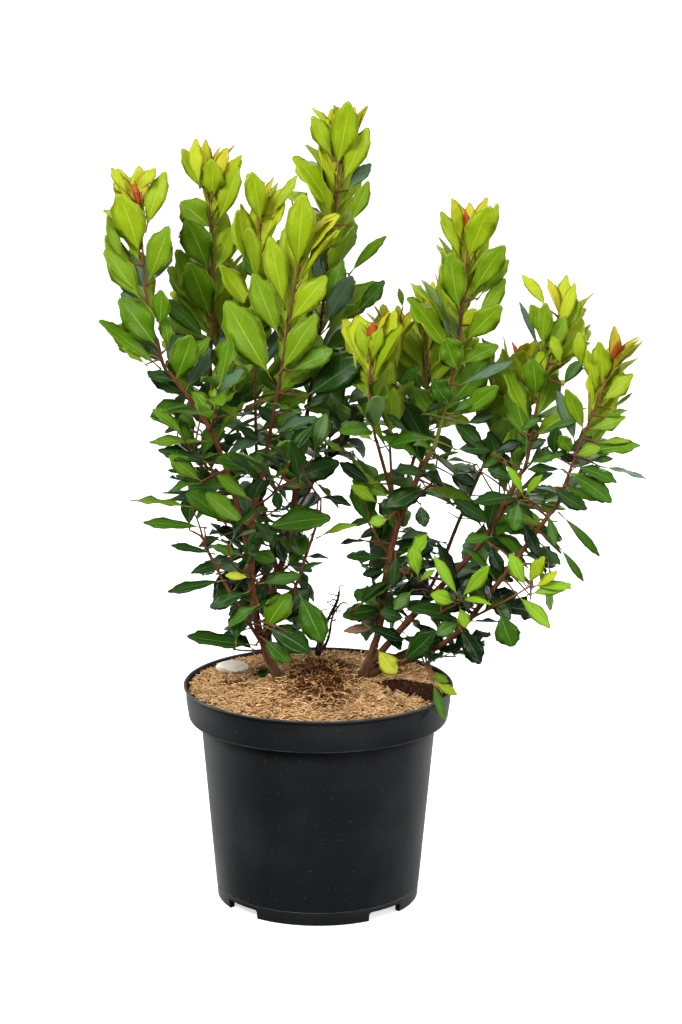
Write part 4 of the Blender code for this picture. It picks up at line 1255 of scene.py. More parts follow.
# A twig that hangs over the rim, and single leaves: root, tip, width as a share of the length, how
# steeply the face looks up in degrees, tone
RIM_TWIG = ((104, -34, 270), (110, -52, 258), (116, -64, 249))
ODD_LEAVES = (
    ((-70, -24, 346), (-94, -36, 352), 0.34, 30, "yellowed"),
    ((116, -64, 249), (126, -80, 212), 0.26, 20, "green"),
    ((116, -64, 249), (139, -74, 237), 0.36, 30, "lime"),
    ((112, -58, 253), (131, -70, 252), 0.42, 35, "mid"),
    ((118, 112, 545), (110, 196, 556), 0.42, 60, "fresh"),
    ((-106, 112, 596), (-98, 197, 588), 0.42, 60, "fresh"),
    ((8, 108, 470), (14, 190, 466), 0.42, 60, "green"),
)

# Single leaves by how far right and high they lie as seen from the front, and how deep: root, tip,
# then width, degrees and tone as above
FRONT_LEAVES = (
    (-32, 138, 0, 17, 159, -10, 0.44, 35, "dark"), (56, 135, -20, 21, 154, -26, 0.4, 45, "deep"),
    (62, 115, -22, 36, 134, -30, 0.42, 25, "fresh"), (-2, 122, -30, 33, 120, -34, 0.35, 69, "deep"),
    (-2, 80, -26, 35, 99, -34, 0.31, 69, "fresh"), (-60, 89, -32, 8, 106, -40, 0.42, 45, "green"),
    (-16, 61, -20, 9, 61, -26, 0.37, 74, "deep"), (-22, 45, -18, 2, 56, -24, 0.33, 69, "green"),
    (50, 77, -12, 23, 77, -18, 0.37, 74, "deep"), (71, 59, -10, 30, 63, -20, 0.39, 69, "dark"),
    (71, 45, -8, 46, 44, -16, 0.44, 50, "dark"), (69, 7, -8, 26, 2, -24, 0.44, 50, "dark"),
    (64, -12, -10, 27, -14, -20, 0.26, 40, "dry"), (-21, 24, -28, 4, -27, -46, 0.5, 20, "green"),
    (-56, -17, -24, -36, 21, -34, 0.56, 15, "mid"), (-57, -11, -34, -7, -33, -50, 0.5, 30, "dark"),
    (-57, -24, -30, -32, -48, -44, 0.58, 25, "green"), (-64, -31, -22, -132, -25, -40, 0.34, 60, "dark"),
    (-72, 24, -24, -112, 12, -36, 0.44, 45, "dark"), (-96, 36, -30, -154, 26, -44, 0.25, 71, "dark"),
    (-108, 63, -38, -151, 73, -46, 0.26, 71, "dark"), (-117, 90, -42, -179, 97, -54, 0.25, 71, "green"),
    (-130, 111, -44, -193, 121, -54, 0.26, 69, "mid"), (-114, 179, -34, -173, 183, -46, 0.24, 71, "mid"),
    (-112, 156, -36, -163, 173, -46, 0.33, 64, "dark"), (248, 107, -60, 295, 62, -66, 0.15, 30, "green"),
    (248, 72, -68, 276, 36, -76, 0.18, 30, "green"), (204, 22, -90, 240, -8, -100, 0.34, 40, "bright"),
    (187, 4, -84, 198, -32, -92, 0.7, 15, "green"), (144, -11, -72, 170, -46, -84, 0.52, 20, "deep"),
    (85, -48, -40, 121, -21, -56, 0.5, 20, "dark"), (60, -34, -40, 80, -62, -44, 0.6, 12, "yellowed"),
    (271, 168, -60, 329, 183, -66, 0.34, 50, "mid"), (263, 156, -62, 308, 144, -70, 0.4, 50, "green"),
    (290, 155, -60, 339, 148, -66, 0.22, 69, "sheen"), (257, 148, -64, 304, 125, -72, 0.42, 35, "green"),
    (-202, 362, -44, -225, 409, -50, 0.26, 30, "fresh"), (-183, 322, -44, -220, 376, -58, 0.4, 25, "fresh"),
    (-185, 322, -40, -211, 350, -44, 0.3, 40, "sheen"), (-167, 275, -42, -204, 326, -62, 0.52, 20, "mid"),
    (-165, 255, -40, -224, 305, -52, 0.27, 35, "mid"), (-179, 258, -46, -203, 277, -54, 0.3, 35, "fresh"),
    (-179, 341, -44, -158, 398, -60, 0.45, 20, "fresh"), (-173, 344, -36, -154, 381, -30, 0.42, 30, "sheen"),
    (-187, 370, -42, -201, 434, -58, 0.5, 20, "lime"), (-167, 296, -44, -161, 333, -52, 0.5, 25, "mid"),
    (-116, 282, 20, -158, 332, 8, 0.28, 35, "green"), (-150, 241, -38, -131, 285, -54, 0.6, 20, "mid"),
    (-149, 241, -38, -176, 250, -46, 0.5, 30, "dark"), (-115, 355, 36, -134, 408, 18, 0.55, 20, "mid"),
    (-113, 305, 34, -131, 363, 16, 0.5, 20, "mid"), (-113, 428, 42, -110, 470, 26, 0.5, 20, "lime"),
    (-116, 433, 42, -139, 483, 34, 0.36, 25, "lime"), (-107, 404, 40, -84, 462, 30, 0.36, 25, "lime"),
    (-112, 399, 40, -141, 429, 26, 0.75, 25, "fresh"), (-62, 404, 24, -67, 457, 8, 0.42, 20, "lime"),
    (-52, 414, 24, -24, 453, 20, 0.26, 30, "lime"), (16, 462, 92, 33, 530, 74, 0.4, 20, "lime"),
    (13, 472, 92, -5, 518, 84, 0.42, 25, "lime"), (22, 446, 92, 47, 504, 82, 0.36, 25, "lime"),
    (-24, 354, -58, -19, 433, -76, 0.38, 20, "lime"), (-36, 317, -56, -52, 388, -72, 0.34, 20, "lime"),
    (-33, 301, -56, 3, 350, -70, 0.42, 25, "lime"), (-41, 285, -54, -68, 350, -70, 0.4, 20, "fresh"),
    (-49, 243, -50, -95, 320, -72, 0.42, 20, "fresh"), (-42, 249, -52, -7, 309, -66, 0.36, 25, "fresh"),
    (-30, 252, -50, 10, 275, -62, 0.5, 30, "mid"), (-16, 225, -40, 41, 266, -58, 0.5, 40, "dark"),
    (152, 365, -12, 172, 425, -30, 0.45, 20, "lime"), (147, 385, -12, 139, 423, -22, 0.32, 25, "tip"),
    (146, 312, -12, 131, 374, -28, 0.42, 20, "fresh"), (157, 332, -12, 187, 385, -26, 0.42, 20, "fresh"),
    (144, 252, -12, 128, 285, -26, 0.7, 20, "mid"), (149, 282, -12, 185, 323, -28, 0.46, 25, "fresh"),
    (144, 259, -12, 183, 282, -24, 0.42, 30, "mid"), (137, 215, -12, 116, 242, -28, 0.6, 20, "green"),
    (144, 238, -12, 198, 265, -22, 0.22, 40, "sheen"), (141, 205, -12, 185, 236, -26, 0.36, 30, "mid"),
    (229, 262, -30, 256, 305, -44, 0.42, 20, "fresh"), (224, 225, -28, 224, 262, -46, 0.6, 20, "mid"),
    (237, 285, -30, 224, 321, -44, 0.46, 20, "fresh"), (244, 292, -30, 267, 341, -38, 0.26, 25, "tip"),
    (236, 318, -30, 215, 354, -36, 0.3, 25, "tip"), (292, 239, -60, 295, 281, -74, 0.46, 20, "lime"),
    (286, 233, -60, 282, 274, -70, 0.36, 20, "lime"), (291, 222, -58, 325, 247, -66, 0.5, 25, "lime"),
    (279, 193, -60, 316, 204, -68, 0.5, 30, "fresh"), (293, 206, -60, 319, 213, -64, 0.3, 40, "mid"),
    (264, 166, -62, 288, 175, -74, 0.6, 30, "fresh"), (287, 179, -62, 321, 185, -66, 0.28, 45, "fresh"),
    (280, 160, -62, 303, 164, -66, 0.36, 45, "green"), (254, 149, -62, 295, 140, -68, 0.24, 40, "mid"),
    (281, 125, -62, 300, 124, -66, 0.46, 45, "green"), (240, 134, -64, 273, 108, -74, 0.4, 30, "dark"),
    (252, 136, -62, 285, 119, -68, 0.36, 35, "green"), (275, 189, -60, 257, 235, -74, 0.32, 25, "fresh"),
    (262, 168, -60, 249, 187, -72, 0.56, 25, "mid"), (215, 158, -50, 251, 166, -58, 0.28, 40, "green"),
    (50, 262, -66, 40, 300, -74, 0.42, 20, "lime"), (54, 262, -66, 60, 296, -76, 0.42, 20, "lime"),
    (215, 29, -98, 197, 61, -102, 0.42, 25, "bright"), (216, 32, -98, 231, 61, -104, 0.42, 25, "lime"),
    (218, 31, -98, 260, 35, -106, 0.3, 35, "bright"), (221, 29, -98, 247, 43, -104, 0.38, 35, "tip"),
    (145, 19, -84, 120, 58, -92, 0.26, 25, "bright"), (145, 18, -84, 178, 47, -94, 0.32, 25, "bright"),
    (142, 13, -84, 119, 22, -94, 0.6, 35, "bright"), (145, 10, -84, 153, -11, -94, 0.58, 30, "bright"),
    (212, 122, -76, 199, 155, -84, 0.26, 25, "bright"), (212, 122, -76, 228, 147, -86, 0.3, 25, "bright"),
    (207, 119, -76, 199, 90, -88, 0.68, 20, "green"), (103, 38, -66, 97, 69, -72, 0.48, 20, "bright"),
    (103, 35, -66, 118, 48, -74, 0.32, 30, "bright"), (73, 100, -26, 53, 97, -32, 0.66, 40, "bright"),
    (111, 134, -26, 70, 114, -40, 0.5, 30, "dark"), (105, 116, -26, 107, 93, -38, 0.62, 20, "dark"),
    (79, 64, -26, 79, 31, -38, 0.5, 15, "dark"), (207, 124, -60, 160, 119, -66, 0.36, 45, "dark"),
    (132, 124, -30, 174, 100, -44, 0.36, 35, "dark"), (208, 100, -56, 228, 64, -68, 0.36, 25, "deep"),
    (176, 76, -56, 186, 44, -66, 0.45, 20, "deep"), (179, 82, -54, 153, 80, -66, 0.5, 35, "green"),
    (145, -7, -78, 123, -18, -88, 0.66, 30, "green"), (97, 27, -50, 79, 7, -62, 0.56, 25, "green"),
    (90, -3, -46, 65, 3, -56, 0.58, 35, "dark"), (70, 47, -20, 47, 43, -24, 0.3, 50, "deep"),
    (-74, 93, -44, -117, 121, -56, 0.4, 30, "mid"), (-96, 93, -38, -131, 131, -46, 0.4, 30, "green"),
    (-121, 137, -40, -153, 163, -50, 0.44, 30, "mid"), (-121, 136, -38, -155, 136, -46, 0.34, 50, "green"),
    (-73, 64, -42, -47, 57, -52, 0.58, 35, "green"), (-62, 32, -40, -23, 43, -50, 0.36, 45, "green"),
    (-79, 61, -40, -109, 71, -50, 0.36, 45, "green"), (-70, 118, -46, -103, 143, -56, 0.36, 30, "mid"),
    (-44, 81, -32, -38, 55, -42, 0.5, 20, "deep"), (-61, 11, -34, -95, -6, -44, 0.4, 40, "green"),
    (30, 353, 80, 64, 396, 70, 0.22, 35, "mid"), (5, 301, 40, 31, 349, 30, 0.4, 30, "sheen"),
    (5, 313, 60, 22, 365, 50, 0.4, 25, "mid"), (36, 312, 10, 68, 343, 4, 0.4, 30, "green"),
    (86, 318, 20, 83, 338, 16, 0.3, 25, "mid"), (146, 368, -10, 131, 418, -18, 0.3, 25, "lime"),
    (163, 328, -8, 196, 368, -10, 0.3, 25, "fresh"), (160, 374, -8, 189, 423, -12, 0.26, 25, "lime"),
    (158, 300, -8, 196, 344, -12, 0.3, 30, "fresh"), (265, 177, -48, 253, 232, -50, 0.28, 30, "sheen"),
    (227, 188, -44, 264, 207, -54, 0.2, 35, "green"), (244, 164, -48, 242, 194, -54, 0.5, 20, "dark"),
    (252, 152, -46, 217, 153, -50, 0.34, 45, "dark"), (300, 214, -58, 324, 229, -62, 0.16, 40, "mid"),
    (-136, 226, -30, -176, 250, -40, 0.4, 35, "dark"), (-181, 397, -40, -166, 458, -44, 0.34, 25, "lime"),
    (-190, 437, -42, -174, 463, -46, 0.42, 25, "tip"), (-200, 437, -42, -217, 462, -44, 0.4, 25, "tip"),
    (-113, 438, 38, -128, 487, 36, 0.3, 20, "tip"), (-112, 440, 38, -98, 483, 34, 0.34, 20, "flush"),
    (-109, 436, 38, -86, 478, 36, 0.28, 25, "tip"), (29, 404, 86, 52, 447, 80, 0.34, 25, "fresh"),
    (28, 440, 96, 49, 470, 102, 0.4, 30, "sheen"), (-157, 275, -38, -158, 306, -44, 0.5, 20, "mid"),
    (-62, 346, 18, -76, 370, 8, 0.6, 25, "green"), (173, 168, -6, 147, 199, -14, 0.45, 35, "dark"),
    (164, 150, -6, 190, 170, -12, 0.45, 35, "green"), (237, 106, -66, 244, 74, -74, 0.36, 20, "green"),
    (233, 72, -66, 249, 54, -72, 0.4, 35, "dark"), (62, 99, -14, 30, 95, -20, 0.36, 50, "dark"),
    (140, 172, -10, 176, 176, -16, 0.44, 30, "dark"), (178, 168, -20, 208, 180, -26, 0.4, 30, "deep"),
    (205, 140, -30, 176, 152, -34, 0.45, 30, "dark"), (136, 146, -10, 162, 138, -16, 0.45, 30, "deep"),
    (150, 198, -8, 180, 210, -14, 0.35, 30, "dark"), (106, 208, -20, 130, 222, -24, 0.4, 30, "dark"),
    (80, 236, -20, 100, 260, -24, 0.4, 30, "green"), (252, 238, -50, 268, 266, -56, 0.4, 20, "green"),
    (256, 168, -50, 280, 186, -56, 0.4, 25, "dark"), (270, 158, -50, 246, 170, -54, 0.4, 25, "deep"),
    (206, 190, -30, 226, 206, -36, 0.4, 25, "green"), (212, 170, -30, 232, 184, -36, 0.4, 25, "dark"),
    (-40, 196, -10, -62, 214, -16, 0.45, 30, "dark"), (-60, 180, -10, -82, 192, -16, 0.45, 30, "dark"),
    (-16, 212, -10, 8, 230, -16, 0.4, 30, "dark"), (-30, 232, -10, -8, 252, -16, 0.4, 30, "dark"),
    (-40, 228, -10, -60, 254, -16, 0.4, 30, "green"), (-40, 106, -20, -46, 126, -26, 0.5, 30, "dark"),
    (-100, 82, -20, -124, 72, -30, 0.3, 30, "dark"), (-100, 54, -20, -132, 46, -30, 0.3, 30, "dark"),
    (40, 78, 10, 60, 92, 6, 0.4, 30, "dark"), (-125, 443, 30, -135, 491, 26, 0.32, 20, "tip"),
    (216, 22, -98, 258, 34, -108, 0.34, 20, "bright"), (231, 277, -40, 232, 323, -48, 0.4, 20, "fresh"),
    (254, 291, -28, 266, 328, -30, 0.46, 20, "fresh"), (227, 275, -20, 211, 325, -14, 0.14, 30, "sheen"),
    (272, 256, -50, 266, 292, -54, 0.4, 20, "lime"), (250, 258, -40, 244, 290, -44, 0.4, 20, "lime"),
    (136, 208, -16, 160, 226, -20, 0.36, 30, "green"), (92, 190, -20, 70, 206, -26, 0.36, 30, "dark"),
)

# Leaves that close a shoot's tip: how far below the tip, length as a share of a tip leaf's, degrees
# from the stem, tone
STAR_ROWS = (
    (17, 0.9, 32, "lime"), (14, 0.86, 26, "tip"), (11, 0.82, 32, "tip"), (8, 0.78, 26, "tip"),
    (4, 0.72, 28, "flush"), (3, 0.68, 22, "flush"), (2, 0.64, 26, "flush"), (1, 0.56, 18, "flush"),
    (1, 0.46, 20, "red_bud"), (0, 0.4, 12, "red_bud"), (0, 0.34, 20, "red_bud"), (0, 0.28, 6, "red_bud"),
)
SPRAY_SIZES = {"leaves_bright_side": 0.8, "leaves_bright_small": 0.8, "leaves_red_tip": 0.7}
BRIGHT_ROWS = (
    (5, 0.6, 46, "bright"), (4, 0.56, 40, "bright"), (2, 0.5, 32, "bright"), (1, 0.44, 24, "lime"),
    (0, 0.3, 16, "tip"),
)


def places_tested(leaf):
    return [Vector(place) for place in blade_places(TestForm, leaf)]


class Blades:
    """The leaves that stand already, by place, so that no new leaf cuts through one."""

    def __init__(self):
        self.cells = {}

    def cell(self, place):
        return tuple(math.floor(value / CELL) for value in place)

    def crosses(self, centre, blade):
        x, y, z = self.cell(centre)
        near = ((x + i, y + j, z + k) for i in (-1, 0, 1) for j in (-1, 0, 1) for k in (-1, 0, 1))
        return any(blade.overlap(other) for cell in near for other in self.cells.get(cell, ()))

    def add(self, centre, blade):
        self.cells.setdefault(self.cell(centre), []).append(blade)


def crown_tone(share, place, rng):
    """The tone of a leaf on a tall shoot, from its foot to its tip."""
    share += rng.uniform(-0.08, 0.08)
    for limit, tone in ((0.1, "green"), (0.26, "mid"), (0.6, "fresh"), (0.86, "lime")):
        if share < limit:
            return tone
    return "tip"


def bright_tone(share, place, rng):
    """The tone of a leaf on a spray with a bright young end."""
    return "bright" if share > 0.62 else shade_tone(share, place, rng)


def shade_tone(share, place, rng):
    """The tone of an older leaf: the higher it hangs, the greener and lighter; the dark and deep tones low
    down are painted shade.
    """
    light = (place.z - 320) / 250 + rng.gauss(0, 0.32)
    for limit, tone in ((0.0, "deep"), (0.36, "dark"), (0.72, "green"), (1.15, "mid")):
        if light < limit:
            return tone
    return "fresh"


def bough_tone(share, place, rng):
    """The tone of a leaf that grows from a bough."""
    return shade_tone(share, place + Vector((0, 0, 30)), rng)


# Leaves that lean away from the light may take the sheen tone, a grey-green painted sheen
SHEEN_TONES = ("mid", "fresh", "green", "dark")
SHEEN_SHARE = 0.24

# The rule for the tones of each manner of shoot
TONES_OF = {"crown": crown_tone, "bright": bright_tone, "shade": shade_tone}


def leans_away(leaf):
    """Whether the leaf points to the back or is seen from its edge."""
    return leaf["forward"].y > 0.3 or abs(leaf["up"].y) < 0.25


def between(degrees, share):
    """The angle at this share of the way from the first to the last of two."""
    first, last = (math.radians(value) for value in degrees)
    return first + (last - first) * share


class Foliage:
    """The leaves, petioles and stems as they grow, gathered by kind."""

    def __init__(self, shoots, limbs):
        self.shoots = shoots
        self.limbs = limbs
        self.space = Space(shoots, limbs)
        self.blades = Blades()
        self.forms = {age: BladeForm(*values[:3]) for age, values in AGES.items()}
        self.tones = {tone: Gathered() for tone in TONES}
        self.petioles = Gathered()
        self.stems = Gathered()
        self.size = settings().leaf

    def add_leaf(self, leaf, tone, owner):
        form = self.forms[TONES[tone][-1]]
        gathered = self.tones[tone]
        gathered.add(blade_places(form, leaf), form.blank.faces, form.charts, form.slots)
        if owner:
            gathered.owners.add(owner)
        root = leaf["root"]
        end = root + leaf["forward"] * leaf["length"] * (PETIOLE_SHARE + 0.05)
        thick = PETIOLE_RADIUS * min(1.0, leaf["length"] / 50)
        path = [root - leaf["forward"] * 1.0, root.lerp(end, 0.5), end]
        self.petioles.add(*tube(path, (thick * 1.3, thick, thick * 0.7), 4, 0.02, 0.98))

    def fitted(self, own, stand, turn, habit, seed, length, may_cover):
        """The leaf, smaller or turned where it would leave its space or cross another, or None."""
        place, direction, radius, angle = stand
        for factor, shift in FIT_TRIES:
            rng = random.Random(seed)
            leaf = leaf_at(place, direction, radius, turn + shift, angle, HABITS[habit], rng)
            growth = BACK_GROWTH if leaf["forward"].y > BACK_LEAN else 1.0
            leaf["length"] = length * factor * growth
            places = places_tested(leaf)
            if not self.space.holds(own, places[1:]) or self.space.covers(places[1:], may_cover):
                continue
            blade = BVHTree.FromPolygons(places, TestForm.faces)
            if angle < CROSSING_ANGLE or not self.blades.crosses(places[2], blade):
                self.blades.add(places[2], blade)
                return leaf
        return None

    def grow_row(self, own, path, radius, start, count, sizes, tones, seed, end=ROW_END, to_front=False):
        """Leaves in a spiral along a stem; sizes gives length, angle and habit, tones the tone.

        Gives the share of the stem that ends at its last leaf, and the number of leaves.
        """
        rng = random.Random(seed)
        first = rng.uniform(0, 2 * math.pi)
        if to_front:
            side, other = across(along(path, end)[1])
            first = math.atan2(-other.y, -side.y) - GOLDEN_ANGLE * (count - 1)
        owner = None if own is None else self.shoots[own]["name"]
        last, grown = start, 0
        for k in range(count):
            share = k / max(1, count - 1)
            place, direction = along(path, start + (end - start) * share)
            length, angle, habit = sizes(share)
            length *= rng.uniform(0.84, 1.14)
            angle *= rng.uniform(0.8, 1.2)
            turn = first + GOLDEN_ANGLE * k + rng.uniform(-0.25, 0.25)
            leaf_seed = rng.random()
            tone = tones(share, place, rng)
            may_cover = rng.random() < COVER_SHARE or angle < CROSSING_ANGLE
            stand = (place, direction, radius, angle)
            leaf = self.fitted(own, stand, turn, habit, leaf_seed, length, may_cover)
            if leaf:
                # A leaf that leans away may take the painted sheen
                if tone in SHEEN_TONES and leans_away(leaf) and leaf_seed < SHEEN_SHARE:
                    tone = "sheen"
                leaf["width"] *= self.size.width
                self.add_leaf(leaf, tone, owner)
                last, grown = start + (end - start) * share, grown + 1
        return last, grown

    def crown_sizes(self, share):
        """Length, angle and habit of a leaf on a tall shoot."""
        tip, young = self.size.tip_length / MM, self.size.young_length / MM
        low = young * 0.74
        if share < 0.6:
            length = low + (young - low) * share / 0.6
        else:
            length = young + (tip - young) * (share - 0.6) / 0.4
        return length, between(CROWN_ANGLES, share**0.8), "tip" if share > 0.85 else "young"

    def shade_sizes(self, share):
        """Length, angle and habit of a leaf on a short spray."""
        length = self.size.old_length / MM * (0.8 + 0.25 * math.sin(math.pi * share))
        return length, between(SPRAY_ANGLES, share**1.4), "old"

    def bough_sizes(self, share):
        """Length, angle and habit of a leaf that grows from a bough itself."""
        return self.size.old_length / MM * (0.78 + 0.3 * share), between(BOUGH_ANGLES, share), "old"

    def rosette(self, own, manner):
        """The open star of small leaves and red buds that closes a shoot's tip."""
        shoot = self.shoots[own]
        place, direction = along(shoot["path"], 1.0)
        rng = random.Random(SEED * 300 + own)
        first = rng.uniform(0, 2 * math.pi)
        rows = STAR_ROWS if manner == "crown" else BRIGHT_ROWS
        for k, (drop, size, degrees, tone) in enumerate(rows):
            turn = first + GOLDEN_ANGLE * k
            angle = math.radians(degrees) * rng.uniform(0.8, 1.2)
            root = place - direction * drop
            leaf = leaf_at(root, direction, STEM_TIP, turn, angle, HABITS["tip"], rng)
            leaf["length"] = self.size.tip_length / MM * size * SPRAY_SIZES.get(shoot["name"], 1.0)
            leaf["width"] *= self.size.width * 0.85
            places = places_tested(leaf)[1:]
            if self.space.holds(None, places) and not self.space.covers(places, True):
                self.add_leaf(leaf, tone, shoot["name"])

    def odd_leaves(self):
        """The leaves that stand by themselves, each on a twig from the nearest limb."""
        self.add_twig([Vector(place) for place in RIM_TWIG])
        for root, tip, width, degrees, tone in single_leaves():
            forward = (tip - root).normalized()
            lean = math.radians(degrees)
            up = Vector((0, -math.cos(lean), math.sin(lean)))
            up = (up - forward * up.dot(forward)).normalized()
            rng = random.Random(SEED * 700 + self.stems.shapes)
            leaf = {
                "root": root, "forward": forward, "up": up, "length": (tip - root).length * 1.04,
                "width": width, "fold": rng.uniform(0.1, 0.36), "bend": rng.uniform(-0.1, 0.6),
                "wave": rng.uniform(0.1, 0.3), "ripples": rng.uniform(1.4, 2.8),
                "phase": rng.uniform(0, 6.28), "twist": rng.uniform(-0.5, 0.5),
                "sweep": rng.uniform(-0.13, 0.13),
            }
            places = places_tested(leaf)
            self.blades.add(places[2], BVHTree.FromPolygons(places, TestForm.faces))
            self.add_leaf(leaf, tone, None)
            carrier, index, distance = self.space.carriers.find(root)
            if distance > CARRIED:
                middle = carrier.lerp(root, 0.5) + Vector((0, 0, 0.04 * distance))
                self.add_twig([carrier, middle, root + forward * 1.5])

    def grow(self):
        """All leaves: the single ones first, then each shoot's and its twigs', last the boughs'."""
        self.odd_leaves()
        for own, shoot in enumerate(self.shoots):
            total = length_of(shoot["path"])
            bare = (SHOOT_BARE if shoot["share"] == 1.0 else SIDE_SHOOT_BARE) / total
            manner = shoot["manner"]
            crown = manner == "crown"
            sizes = self.crown_sizes if crown else self.shade_sizes
            count = round(shoot["leaves"] * (CROWN_FULLNESS if crown else SPRAY_FULLNESS))
            end = 1 - CROWN_DROP / total if crown else ROW_END
            last = self.grow_row(
                own, shoot["path"], shoot["radius"], min(0.5, bare), count, sizes, TONES_OF[manner],
                SEED * 1000 + own, end, crown,
            )[0]
            if manner != "shade":
                self.rosette(own, manner)
            for k, (twig, share) in enumerate(zip(shoot["twigs"], shoot["twig_shares"])):
                reach, grown = self.grow_row(
                    own, twig, TWIG_RADIUS, TWIG_START, TWIG_LEAVES, self.shade_sizes, shade_tone,
                    SEED * 2000 + own * 10 + k,
                )
                if grown:
                    self.add_twig(twig, reach)
                    last = max(last, share)
            self.add_stem(shoot, 1.0 if manner != "shade" else last)
        for k, limb in enumerate(self.limbs.values()):
            if limb["parent"] is None or limb["name"] == "cut_stub":
                continue
            total = length_of(limb["path"])
            count = int((total - BOUGH_BARE) / BOUGH_SPACING)
            self.grow_row(
                None, limb["path"], (limb["start"] + limb["end"]) / 2, BOUGH_BARE / total, count,
                self.bough_sizes, bough_tone, SEED * 5000 + k,
            )

    def add_stem(self, shoot, reach):
        """The shoot's stem, as far as this share of it, wider at its foot and with faint nodes."""
        path = shoot["fine"]
        path = path[:max(3, math.ceil(len(path) * reach))]
        lengths = lengths_along(path)
        radii = shoot["radius"] + (STEM_TIP - shoot["radius"]) * lengths / lengths[-1]
        if shoot["share"] == 1.0:
            radii = radii + (shoot["limb"]["end"] - shoot["radius"]) * np.exp(-lengths / 14)
        else:
            radii = radii * (1 + 0.7 * np.exp(-lengths / 6))
        radii = radii * (1 + 0.07 * np.sin(lengths * 2 * math.pi / NODE_SPACING))
        low = 0.0 if shoot["manner"] == "crown" else 0.3
        high = 0.75 if shoot["manner"] == "shade" else 1.0
        self.stems.add(*tube(path, radii, TWIG_SIDES, low, high))

    def add_twig(self, twig, reach=1.0):
        path = smooth_path(twig, TWIG_STEP)
        path = path[:max(3, math.ceil(len(path) * reach))]
        lengths = lengths_along(path)
        radii = TWIG_RADIUS * (1 - 0.4 * lengths / length_of(path)) * (1 + 0.5 * np.exp(-lengths / 4))
        self.stems.add(*tube(path, radii, 5, 0.35, 0.8))


# Bark


def limb_radii(limb, relief, rng):
    """Radii round and along a limb: taper, a flared foot, collars at the forks, ridges and scars."""
    path = limb["fine"]
    lengths = lengths_along(path)
    base = limb["start"] + (limb["end"] - limb["start"]) * (lengths / lengths[-1])
    if limb["parent"] is None:
        base = base * (1 + (FLARE - 1) * np.exp(-np.maximum(lengths - 8, 0) / 9))
    elif limb["share"] < 1.0:
        base = base * (1 + 0.55 * np.exp(-lengths / 7))
    for share, radius in limb["forks"]:
        if share < 1.0:
            away = (lengths - share * lengths[-1]) / (4 + radius)
            base = base * (1 + 0.09 * radius * np.exp(-away**2) / 1.5)
    # Scars that ring the limb
    place = rng.uniform(8, 16)
    while place < lengths[-1]:
        base = base * (1 + rng.uniform(0.04, 0.1) * np.exp(-((lengths - place) / 1.6) ** 2))
        place += rng.uniform(9, 20)
    # Coarse and fine ridges that run lengthwise
    radii = np.zeros((len(path), BARK_SIDES))
    shift = rng.uniform(0, 100)
    for row, length in enumerate(lengths):
        for k in range(BARK_SIDES):
            turn = 2 * math.pi * k / BARK_SIDES
            right, deep = math.cos(turn), math.sin(turn)
            ridge = noise.noise(Vector((right * 1.7, deep * 1.7, length / 22 + shift)))
            ridge += 0.6 * noise.noise(Vector((right * 4, deep * 4, length / 9 + shift)))
            radii[row, k] = base[row] * (1 + relief * ridge)
    return radii


class PLANT_OT_bark(bpy.types.Operator):
    """Makes the trunk and boughs with their bark's relief"""

    bl_idname = "plant.bark"
    bl_label = "Trunk and boughs"

    def execute(self, context):
        values = settings().bark
        limbs = plan_limbs()
        plan_shoots(limbs)
        ridge, groove = tuple(values.colour), tuple(values.groove_colour)
        brown = bark_paint("bark_paint", ridge, groove, srgb(184, 124, 68))
        stems = {"left": Gathered(), "right": Gathered()}
        sides = {}
        for limb in limbs.values():
            parent = limb["parent"]
            side = sides[parent] if parent else limb["name"].split("_")[1]
            sides[limb["name"]] = side
            rng = random.Random(SEED + len(sides) * 13)
            radii = limb_radii(limb, values.relief, rng)
            total = length_of(limb["fine"])
            low = rng.uniform(0, 1 - total / BARK_LENGTH)
            stems[side].add(*tube(limb["fine"], radii, BARK_SIDES, low, low + total / BARK_LENGTH))
            stems[side].owners.add(limb["name"])
        for side, gathered in stems.items():
            piece = gathered.piece(f"bark_{side}", brown)
            finish_piece(piece, "bark", *sorted(gathered.owners))
        return {"FINISHED"}


class PLANT_OT_foliage(bpy.types.Operator):
    """Grows the stems, twigs, petioles and leaves from the boughs"""

    bl_idname = "plant.foliage"
    bl_label = "Foliage"

    def execute(self, context):
        limbs = plan_limbs()
        shoots = plan_shoots(limbs)
        plan_twigs(shoots, limbs)
        foliage = Foliage(shoots, limbs)
        foliage.grow()
        stem = stem_paint("stem_paint", srgb(84, 50, 32), srgb(112, 66, 40), srgb(150, 102, 52), 0.6)
        names = [shoot["name"] for shoot in shoots]
        finish_piece(foliage.stems.piece("shoot_stems", stem), "bark", *names)
        petiole = stem_paint("petiole_paint", srgb(110, 72, 38), srgb(130, 118, 50), srgb(136, 160, 66), 0.5)
        finish_piece(foliage.petioles.piece("petioles", petiole), "young_leaf")
        for tone, gathered in foliage.tones.items():
            if not gathered.shapes:
                continue
            *colours, share, start, roughness, gloss, age = TONES[tone]
            upper, under, vein, margin = (srgb(*colour) for colour in colours)
            edge = (margin, share, start)
            paints = (
                leaf_paint(f"{tone}_upper", upper, vein, *edge, roughness, gloss, False),
                leaf_paint(f"{tone}_under", under, vein, *edge, UNDER_ROUGHNESS, UNDER_GLOSS, True),
            )
            piece = gathered.piece(f"blades_{tone}", *paints)
            finish_piece(piece, AGES[age][-1], *sorted(gathered.owners))
        return {"FINISHED"}


# Pot, medium, mat and loose pieces


def arc(centre, radius, start, end, count):
    """Places on an arc, angles in degrees from the outward direction."""
    turns = [math.radians(start + (end - start) * k / count) for k in range(count + 1)]
    return [(centre[0] + radius * math.cos(t), centre[1] + radius * math.sin(t)) for t in turns]


